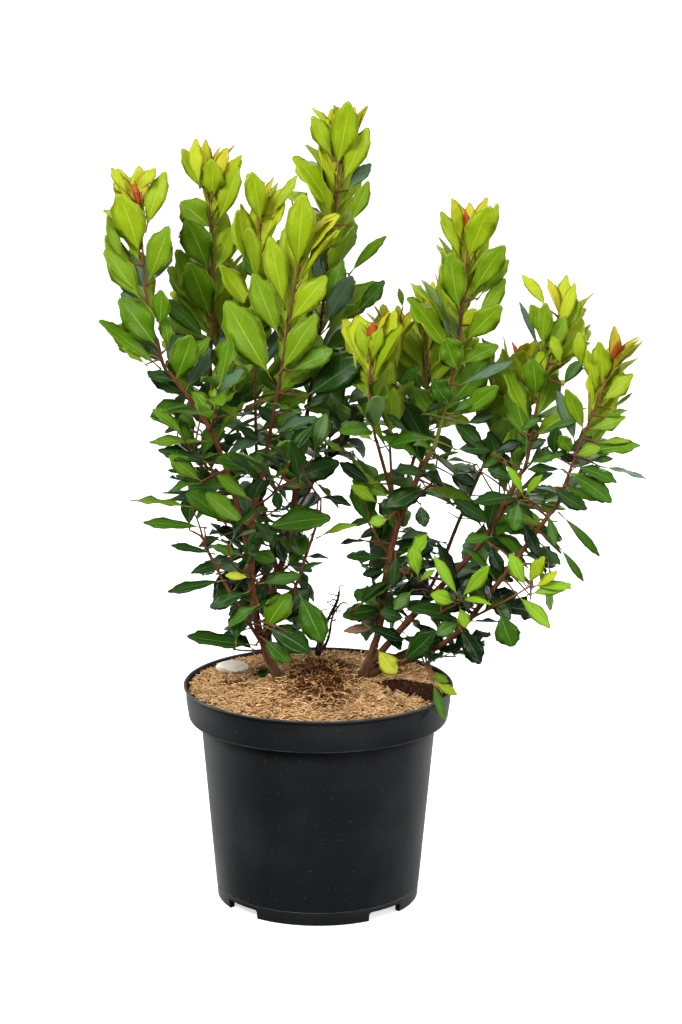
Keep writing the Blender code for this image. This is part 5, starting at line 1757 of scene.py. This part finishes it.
class PLANT_OT_pot(bpy.types.Operator):
    """Turns the nursery pot and cuts the notches in its foot ring"""

    bl_idname = "plant.pot"
    bl_label = "Pot"

    def execute(self, context):
        values = settings().pot
        rim, height = values.rim_radius / MM, values.height / MM
        lip = (rim - 1.5, height - 1.5)
        profile = [
            (POT_HUB, BASE_UNDER_Z), (FOOT_INNER_RADIUS - 3, BASE_UNDER_Z),
            (FOOT_INNER_RADIUS, BASE_UNDER_Z - 3), (FOOT_INNER_RADIUS, EDGE),
            (FOOT_INNER_RADIUS + EDGE, 0), (FOOT_RADIUS - EDGE, 0), (FOOT_RADIUS, EDGE),
            (BODY_FOOT_RADIUS - EDGE / 2, CREASE_Z - 0.6), (BODY_FOOT_RADIUS - 1.1, CREASE_Z),
            (BODY_FOOT_RADIUS, CREASE_Z + EDGE), (BODY_TOP_RADIUS - 1.0, SHELF_Z - 12),
            (BODY_TOP_RADIUS, SHELF_Z - 3 * EDGE), (BODY_TOP_RADIUS + 2 * EDGE, SHELF_Z),
            (COLLAR_FOOT_RADIUS - 4 * EDGE, SHELF_Z + EDGE),
            (COLLAR_FOOT_RADIUS - EDGE, COLLAR_FOOT_Z - 0.6),
            (COLLAR_FOOT_RADIUS, COLLAR_FOOT_Z + 2 * EDGE), (COLLAR_FOOT_RADIUS + 2.4, height - 16),
            (rim - RIM_LIP - 0.8, height - 6 * EDGE), (rim - RIM_LIP, height - 5 * EDGE),
            (rim - 0.3, height - 3.6 * EDGE),
            *arc(lip, 1.5, -10, 190, 6),
            (rim - RIM_LIP - WALL, height - 5 * EDGE),
            (COLLAR_FOOT_RADIUS - WALL, COLLAR_FOOT_Z + WALL + 2 * EDGE),
            (BODY_TOP_RADIUS - WALL, SHELF_Z + WALL - 3 * EDGE),
            (BODY_FOOT_RADIUS - WALL, BASE_UNDER_Z + WALL), (POT_HUB, BASE_UNDER_Z + WALL),
        ]
        pot = turned_piece(profile, POT_SEGMENTS)
        for k in range(NOTCH_COUNT):
            turn = NOTCH_TURN + 2 * math.pi * k / NOTCH_COUNT
            place = placed(FOOT_RADIUS * math.cos(turn), FOOT_RADIUS * math.sin(turn), 0)
            cutter = add(bpy.ops.mesh.primitive_cube_add, size=1.0, location=place, rotation=(0, 0, turn))
            cutter.scale = (NOTCH_DEPTH * MM, NOTCH_WIDTH * MM, 2 * NOTCH_HEIGHT * MM)
            bpy.ops.object.transform_apply()
            modify(cutter, "BEVEL", width=3 * MM, segments=3, limit_method="ANGLE", angle_limit=1.0)
            cut(pot, cutter)
        modify(pot, "BEVEL", width=0.35 * MM, segments=2, limit_method="ANGLE", angle_limit=math.radians(40))
        settle(pot, "nursery_pot", pot_paint(tuple(values.colour)))
        smooth_by_angle(pot, 32)
        finish_piece(pot, "pot_plastic", "pot")
        return {"FINISHED"}


def mat_height(x, y):
    """Height of the mat's dome at this place."""
    share = min(1.0, math.hypot(x, y) / MAT_RADIUS)
    return MAT_EDGE_Z + MAT_DOME * (1 - share**2)


def reach_of(x, y, middle, size):
    """How far the place lies from the middle of a patch of this size, 1 at its edge."""
    return math.hypot((x - middle[0]) / size[0], (y - middle[1]) / size[1])


def on_disc(radius, rng):
    """A chance place on a round of this radius."""
    away = radius * math.sqrt(rng.random())
    turn = rng.uniform(0, 2 * math.pi)
    return away * math.cos(turn), away * math.sin(turn)


def mat_lumps(x, y):
    """How far the mat stands over its dome: lumps all over, and the mound by the dead twig."""
    low = noise.noise(Vector((x / 26, y / 26, 3.0))) * 1.6
    fine = noise.noise(Vector((x / 7, y / 7, 9.0))) * 0.8
    mound = MOUND_RISE * math.exp(-reach_of(x, y, MOUND_PLACE, MOUND_SIZE) ** 2)
    trunk_left = 2.5 * math.exp(-(math.hypot(x + 38, y + 10) / 18) ** 2)
    trunk_right = 3.0 * math.exp(-(math.hypot(x - 46, y + 6) / 18) ** 2)
    return low + fine + mound + trunk_left + trunk_right


def slit_side(x, y):
    """Distance from the slit's front edge and back edge, positive outside the slit, and along it."""
    result = []
    for end, sign in ((SLIT_FRONT, -1), (SLIT_BACK, 1)):
        way = Vector((end[0] - SLIT_TIP[0], end[1] - SLIT_TIP[1])).normalized()
        apart = Vector((x - SLIT_TIP[0], y - SLIT_TIP[1]))
        result.append(sign * (way.x * apart.y - way.y * apart.x))
        result.append(way.dot(apart))
    return result


def mat_top(x, y):
    """Height of the finished mat: the dome, its lumps and the flap that is raised behind the slit."""
    front, front_along, back, back_along = slit_side(x, y)
    flap = 0.0
    if back > -8 and back_along > 0:
        flap = FLAP_RISE * math.exp(-((max(back, 0) / 16) ** 2)) * min(1.0, back_along / 30)
    fade = min(1.0, max(0.0, (MAT_RADIUS - math.hypot(x, y)) / 8))
    return mat_height(x, y) + (mat_lumps(x, y) + flap) * (0.3 + 0.7 * fade)


def in_slit(x, y):
    front, front_along, back, back_along = slit_side(x, y)
    return front < 0 and back < 0 and front_along > 0


class PLANT_OT_mat(bpy.types.Operator):
    """Makes the coir mat with its slit, and the loose fibres on it"""

    bl_idname = "plant.mat"
    bl_label = "Coir mat"

    def execute(self, context):
        values = settings().mat
        bottom = SOIL_Z + 0.4
        reaches = [MAT_RADIUS * k / MAT_RINGS for k in range(MAT_RINGS, 0, -1)]
        rings = [(reach, mat_height(reach, 0)) for reach in reaches]
        mat = turned_piece([(MAT_HUB, bottom), (MAT_RADIUS, bottom), *rings], MAT_SEGMENTS)
        bpy.ops.object.transform_apply()
        for vert in mat.data.vertices:
            x, y, z = vert.co / MM - AXIS
            if z > bottom + 2:
                vert.co.z = mat_top(x, y) * MM
        cylinder = bpy.ops.mesh.primitive_cylinder_add
        middle = (0, 0, POT_HEIGHT * MM)
        wedge = add(cylinder, vertices=3, radius=1, depth=60 * MM, location=middle)
        bpy.ops.object.transform_apply()
        # The three sides of the cylinder go to the corners of the slit
        corners = (SLIT_TIP, SLIT_FRONT, SLIT_BACK)
        turns = [round(math.atan2(vert.co.y, vert.co.x), 3) for vert in wedge.data.vertices]
        for vert, turn in zip(wedge.data.vertices, turns):
            corner = corners[sorted(set(turns)).index(turn)]
            vert.co.x, vert.co.y = placed(*corner, 0)[:2]
        make_active(wedge)
        edit(bpy.ops.mesh.normals_make_consistent, inside=False)
        cut(mat, wedge)
        colour = tuple(values.colour)
        # The pad's darker tone in its fine grain is partly the coir's own and partly painted shade between
        # the fibres
        paint = coir_paint("coir_pad_paint", darker(colour, 0.62), srgb(96, 54, 20), 420.0, 0.85)
        settle(mat, "coir_pad", paint)
        # The walls of the slit are painted dark: painted shade inside the slit, with the dark of soil
        mat.data.materials.append(coir_paint("slit_wall_shade_and_soil_paint", srgb(70, 44, 28), srgb(28, 18, 12), 420.0))
        for polygon in mat.data.polygons:
            x, y, z = polygon.center / MM - AXIS
            if abs(polygon.normal.z) < 0.5 and math.hypot(x, y) < MAT_RADIUS - 2:
                polygon.material_index = 1
        smooth_by_angle(mat, 60)
        finish_piece(mat, "coir", "coir_mat")
        self.fibres(values, colour)
        return {"FINISHED"}

    def fibres(self, values, colour):
        """Short bent fibres that lie every way on the mat, in four tones."""
        straw = add(bpy.ops.mesh.primitive_cylinder_add, vertices=3, radius=1.0, depth=2.0)
        edit(bpy.ops.mesh.bisect, plane_co=(0, 0, 0), plane_no=(0, 0, 1))
        blank = Blank(straw)
        tones = (
            ("pale", srgb(252, 208, 154), 0.46), ("tan", darker(colour, 0.68), 0.42),
            ("brown", srgb(122, 74, 36), 0.08), ("dark", srgb(66, 36, 16), 0.04),
        )
        names, tints, shares = zip(*tones)
        gathered = {name: Gathered() for name in names}
        rng = random.Random(SEED + 400)
        length = values.fibre_length / MM
        x_axis, y_axis, z_axis = (blank.points[:, k] for k in range(3))
        for _ in range(values.fibre_count):
            x, y = on_disc(FIBRE_SPREAD, rng)
            name = rng.choices(names, shares)[0]
            # Fibres on the mound are browner and darker, partly painted shade; fibres in the patch by the
            # pebble are dark as painted shade
            in_mound = reach_of(x, y, MOUND_PLACE, MOUND_SIZE) < rng.uniform(0.55, 1.3)
            in_shade_patch = reach_of(x, y, SHADE_PATCH_PLACE, SHADE_PATCH_SIZE) < 1
            if (in_mound and rng.random() < 0.92) or (in_shade_patch and rng.random() < 0.85):
                name = rng.choice(MOUND_FIBRES if in_mound else SHADE_PATCH_FIBRES)
            way = chance_way(rng, -0.22, 0.8 if in_mound else 0.3)
            half = length * rng.uniform(0.35, 0.8)
            thick = rng.uniform(0.4, 0.75)
            side = way.cross(Vector((0, 0, 1))).normalized()
            up = side.cross(way)
            curl = rng.uniform(-0.25, 0.25) * half
            lift = rng.uniform(-0.2, 1.6)
            if in_slit(x, y) or any(math.hypot(x - a, y - b) < TRUNK_HOLE for a, b in TRUNK_FEET):
                continue
            centre = np.array((x, y, mat_top(x, y) + lift))
            bow = 1 - z_axis**2
            places = centre + np.outer(z_axis * half, way)
            flat, tall = x_axis * thick + bow * curl, y_axis * thick * 0.7 + bow * lift
            places += np.outer(flat, side) + np.outer(tall, up)
            if np.hypot(places[:, 0], places[:, 1]).max() <= FIBRE_LIMIT:
                gathered[name].add(places, blank.faces)
        for name, tint in zip(names, tints):
            paint = coir_paint(f"fibre_{name}_paint", tint, darker(tint, 0.6), 300.0)
            finish_piece(gathered[name].piece(f"fibres_{name}", paint), "coir")


class PLANT_OT_medium(bpy.types.Operator):
    """Gives the growing medium its finish and scatters crumbs where it shows"""

    bl_idname = "plant.medium"
    bl_label = "Growing medium"

    def execute(self, context):
        paint = soil_paint("medium_paint", srgb(30, 20, 15), srgb(62, 42, 30))
        ball = frame["nodes"]["root_ball"]
        ball.data.materials.clear()
        ball.data.materials.append(paint)
        blank = Blank(add(bpy.ops.mesh.primitive_ico_sphere_add, subdivisions=1, radius=1.0))
        crumbs = Gathered()
        rng = random.Random(SEED + 900)
        while crumbs.shapes < CRUMB_COUNT:
            x, y = on_disc(CRUMB_SPREAD, rng)
            if not (in_slit(x, y) or math.hypot(x, y) > MAT_RADIUS):
                continue
            size = rng.uniform(0.7, 2.2)
            spread = np.array((rng.uniform(0.6, 1.5), rng.uniform(0.6, 1.5), rng.uniform(0.4, 0.9)))
            rough = np.array([rng.uniform(0.75, 1.25) for _ in blank.points])[:, None]
            rise = rng.uniform(0.0, 5.0) if in_slit(x, y) else rng.uniform(1.0, 7.0)
            places = blank.points * spread * rough * size + np.array((x, y, SOIL_Z + rise))
            if np.hypot(places[:, 0], places[:, 1]).max() < CRUMB_LIMIT:
                crumbs.add(places, blank.faces)
        piece = crumbs.piece("crumbs", soil_paint("crumb_paint", srgb(34, 23, 17), srgb(78, 52, 34)))
        for polygon in piece.data.polygons:
            polygon.use_smooth = False
        finish_piece(piece, "growing_medium")
        return {"FINISHED"}


class PLANT_OT_moss(bpy.types.Operator):
    """Makes the small patch of moss by the left stem"""

    bl_idname = "plant.moss"
    bl_label = "Moss"

    def execute(self, context):
        tuft = add(bpy.ops.mesh.primitive_cone_add, vertices=4, radius1=0.5, radius2=0.12, depth=2.0)
        blank = Blank(tuft)
        moss = Gathered()
        rng = random.Random(SEED + 700)
        for _ in range(MOSS_COUNT):
            share, turn = math.sqrt(rng.random()), rng.uniform(0, 2 * math.pi)
            x = MOSS_PLACE[0] + MOSS_SIZE[0] * share * math.cos(turn)
            y = MOSS_PLACE[1] + MOSS_SIZE[1] * share * math.sin(turn)
            lean = chance_way(rng, 0.8, 2)
            side, other = across(lean)
            size = rng.uniform(1.3, 2.6) * (1.3 - share * 0.6)
            turned = blank.points * size @ np.array([side, other, lean])
            places = turned + np.array((x, y, mat_top(x, y) + size))
            moss.add(places, blank.faces)
        paint = soil_paint("moss_paint", srgb(34, 58, 10), srgb(84, 106, 30))
        finish_piece(moss.piece("moss", paint), "growing_medium")
        return {"FINISHED"}


class PLANT_OT_pebble(bpy.types.Operator):
    """Shapes the white stone that lies on the mat"""

    bl_idname = "plant.pebble"
    bl_label = "Pebble"

    def execute(self, context):
        stone = add(bpy.ops.mesh.primitive_ico_sphere_add, subdivisions=5, radius=0.5)
        for vert in stone.data.vertices:
            push = noise.noise(vert.co * 2.6) * 0.12 + noise.noise(vert.co * 7.0) * 0.03
            vert.co *= 1 + push
            vert.co.z = max(vert.co.z, -0.3)
        x, y = PEBBLE_PLACE
        stone.scale = Vector(PEBBLE_SIZE) * MM
        stone.rotation_euler = (0.0, 0.05, PEBBLE_TURN)
        stone.location = placed(x, y, mat_top(x, y) + PEBBLE_RISE)
        settle(stone, "white_pebble", stone_paint())
        smooth_by_angle(stone, 50)
        finish_piece(stone, "pebble_stone", "pebble")
        return {"FINISHED"}


class PLANT_OT_dead_twig(bpy.types.Operator):
    """Makes the small dead twig behind the stems"""

    bl_idname = "plant.dead_twig"
    bl_label = "Dead twig"

    def execute(self, context):
        rng = random.Random(SEED + 91)
        x, y = DEAD_TWIG_PLACE
        foot = Vector((x, y, mat_height(x, y) - 2))
        gathered = Gathered()
        for lean, height, start, end in DEAD_STEMS:
            points = [foot.copy(), foot + Vector((0, 0, 5))]
            for k in range(1, 7):
                share = k / 6
                wave = DEAD_TWIG_WAVE * math.sin(5.0 * share + lean)
                rise = DEAD_TWIG_HEIGHT * height * share
                points.append(foot + Vector((lean * share + wave * share, wave * 0.6, rise + 2)))
            self.stem(gathered, points, start, end, rng)
            for share in DEAD_CLAWS:
                curl = [along(points, share)[0]]
                turn = rng.uniform(0, 2 * math.pi)
                reach = rng.uniform(4, 8) + 7 * (share > 0.65)
                for _ in range(3):
                    turn += rng.uniform(-1.3, 1.3)
                    way = Vector((math.cos(turn), 0.6 * math.sin(turn), rng.uniform(-0.6, 1.0)))
                    curl.append(curl[-1] + way.normalized() * reach / 3)
                self.stem(gathered, curl, 0.8, 0.4, rng)
        paint = bark_paint("dead_wood_paint", srgb(84, 62, 48), srgb(34, 25, 20), srgb(126, 100, 80))
        finish_piece(gathered.piece("dead_twig_wood", paint), "dead_wood", "dead_twig")
        return {"FINISHED"}

    def stem(self, gathered, points, start, end, rng):
        path = smooth_path(points, 1.6)
        shares = lengths_along(path) / length_of(path)
        rough = np.array([[rng.uniform(0.8, 1.25) for _ in range(TWIG_SIDES)] for _ in path])
        radii = (start + (end - start) * shares)[:, None] * rough
        gathered.add(*tube(path, radii, TWIG_SIDES, 0.0, min(1.0, length_of(path) / BARK_LENGTH)))


# Stage


# Lights: name, place in metres, width, power as a share of the key light's; one without a width is
# narrow and grazes the pot's side from behind
LIGHTS = (
    ("key", (-1.4, -2.4, 2.6), 1.5, 1.0), ("fill", (2.2, -1.8, 1.0), 1.8, 0.4),
    ("left_edge", (-1.9, 0.9, 0.12), None, 5.0), ("right_edge", (1.8, 0.9, 0.12), None, 3.6),
    ("back", (0.6, 2.2, 2.2), 1.6, 0.3),
)
LIGHT_AIM = (0.0, 0.0, 0.42)
EDGE_LIGHT_AIM_Z = 100.0
EDGE_LIGHT_SPREAD = math.radians(9.0)
WHITE = (1.0, 1.0, 1.0, 1.0)
SKY_IN_GLOSS = 0.22

# Camera: lens and film in millimetres, the place it looks at in metres, how far it is tilted
LENS = 102.1
FILM = 36.0
CAMERA_AIM = (-0.0286, -0.018, 0.4095)
CAMERA_ROLL = math.radians(0.32)


class PLANT_OT_stage(bpy.types.Operator):
    """Sets up the white floor, the soft light and the camera"""

    bl_idname = "plant.stage"
    bl_label = "Stage"

    def execute(self, context):
        values = settings().stage
        floor = add(bpy.ops.mesh.primitive_plane_add, size=60.0, location=(0, 0, -0.0003))
        paint = Paint("floor_paint", 0.9)
        glow = {"Base Color": (0.9, 0.9, 0.9, 1.0), "Emission Color": WHITE, "Emission Strength": 0.6}
        paint.fill(paint.shader, glow)
        settle(floor, "floor", paint.material)
        floor.visible_diffuse = False
        floor.visible_glossy = False
        context.scene.world = self.sky(values.sky)
        for name, place, width, share in LIGHTS:
            self.light(name, place, width, values.key * share)
        context.scene.view_settings.view_transform = "Standard"
        self.camera(values)
        return {"FINISHED"}

    def sky(self, strength):
        """White overhead and dimmer below; gloss sees a white wall behind, the camera plain white."""
        world = bpy.data.worlds.new("white_studio")
        world.use_nodes = True
        sky = Nodes(world.node_tree)
        right, deep, high = sky.parts(sky.node("ShaderNodeTexCoord").outputs["Generated"])
        rise = sky.step(high, -0.5, 0.8, 0.1 * strength, strength)
        behind = sky.step(deep, 0.3, 0.95, 0.0, 1.1)
        wall = sky.times(behind, sky.step(high, -0.15, 0.05, strength, 0.0))
        shine = sky.plus(sky.times(rise, SKY_IN_GLOSS), wall)
        ray = sky.node("ShaderNodeLightPath").outputs
        level = sky.put("ShaderNodeMix", {0: ray["Is Glossy Ray"], 2: rise, 3: shine})
        shade = sky.tree.nodes["Background"]
        sky.fill(shade, {0: WHITE, 1: level})
        plain = sky.put("ShaderNodeBackground", {0: WHITE})
        seen = sky.put("ShaderNodeMixShader", {0: ray["Is Camera Ray"], 1: shade.outputs[0], 2: plain})
        sky.fill(sky.tree.nodes["World Output"], {0: seen})
        return world

    def light(self, name, place, width, power):
        """A wide soft light on the plant, or without a width a narrow one on the pot."""
        data = bpy.data.lights.new(name, "AREA" if width else "SPOT")
        data.energy = power
        if width:
            data.shape = "DISK"
            data.size = width
        else:
            data.spot_size = EDGE_LIGHT_SPREAD
            data.spot_blend = 0.6
            data.shadow_soft_size = 0.25
        aim = Vector(LIGHT_AIM if width else placed(0, 0, EDGE_LIGHT_AIM_Z))
        self.stand(name, data, place).rotation_euler = self.turned_to(aim, place).to_euler()

    def camera(self, values):
        data = bpy.data.cameras.new("camera")
        data.lens = LENS
        data.sensor_width = FILM
        data.clip_end = 100.0
        back = Vector((0, -math.cos(values.elevation), math.sin(values.elevation)))
        place = Vector(placed(0, 0, VIEW_HEIGHT)) + back * values.distance
        obj = self.stand("camera", data, place)
        turn = self.turned_to(Vector(CAMERA_AIM), place).to_matrix()
        obj.rotation_euler = (turn @ Matrix.Rotation(CAMERA_ROLL, 3, "Z")).to_euler()
        bpy.context.scene.camera = obj

    def stand(self, name, data, place):
        """The object of a light or camera at this place."""
        obj = bpy.data.objects.new(name, data)
        obj.location = place
        bpy.context.scene.collection.objects.link(obj)
        return obj

    def turned_to(self, aim, place):
        return (aim - Vector(place)).to_track_quat("-Z", "Y")


class PLANT_PT_panel(bpy.types.Panel):
    """Lists the pieces and their settings"""

    bl_idname = "PLANT_PT_panel"
    bl_label = "Potted strawberry tree"
    bl_space_type = "VIEW_3D"
    bl_region_type = "UI"
    bl_category = "Plant"

    def draw(self, context):
        for group, operator in GROUPS:
            box = self.layout.box()
            box.operator(operator.bl_idname)
            if group:
                values = getattr(context.scene.plant_settings, group)
                for key in values.__annotations__:
                    box.prop(values, key)


GROUPS = (
    ("pot", PLANT_OT_pot), ("mat", PLANT_OT_mat), (None, PLANT_OT_medium), (None, PLANT_OT_moss),
    (None, PLANT_OT_pebble), (None, PLANT_OT_dead_twig), ("bark", PLANT_OT_bark), ("leaf", PLANT_OT_foliage),
    ("stage", PLANT_OT_stage),
)
CLASSES = (
    PotSettings, MatSettings, BarkSettings, LeafSettings, StageSettings, PlantSettings,
    *(operator for group, operator in GROUPS), PLANT_PT_panel,
)


def register():
    for cls in CLASSES:
        bpy.utils.register_class(cls)
    bpy.types.Scene.plant_settings = PointerProperty(
        type=PlantSettings, name="Plant", description="Sizes and colours of the potted shrub",
    )


def unregister():
    del bpy.types.Scene.plant_settings
    for cls in reversed(CLASSES):
        bpy.utils.unregister_class(cls)


def main():
    register()
    bpy.ops.plant.pot()
    bpy.ops.plant.mat()
    bpy.ops.plant.medium()
    bpy.ops.plant.moss()
    bpy.ops.plant.pebble()
    bpy.ops.plant.dead_twig()
    bpy.ops.plant.bark()
    bpy.ops.plant.foliage()
    bpy.ops.plant.stage()


if __name__ == "__main__":
    main()
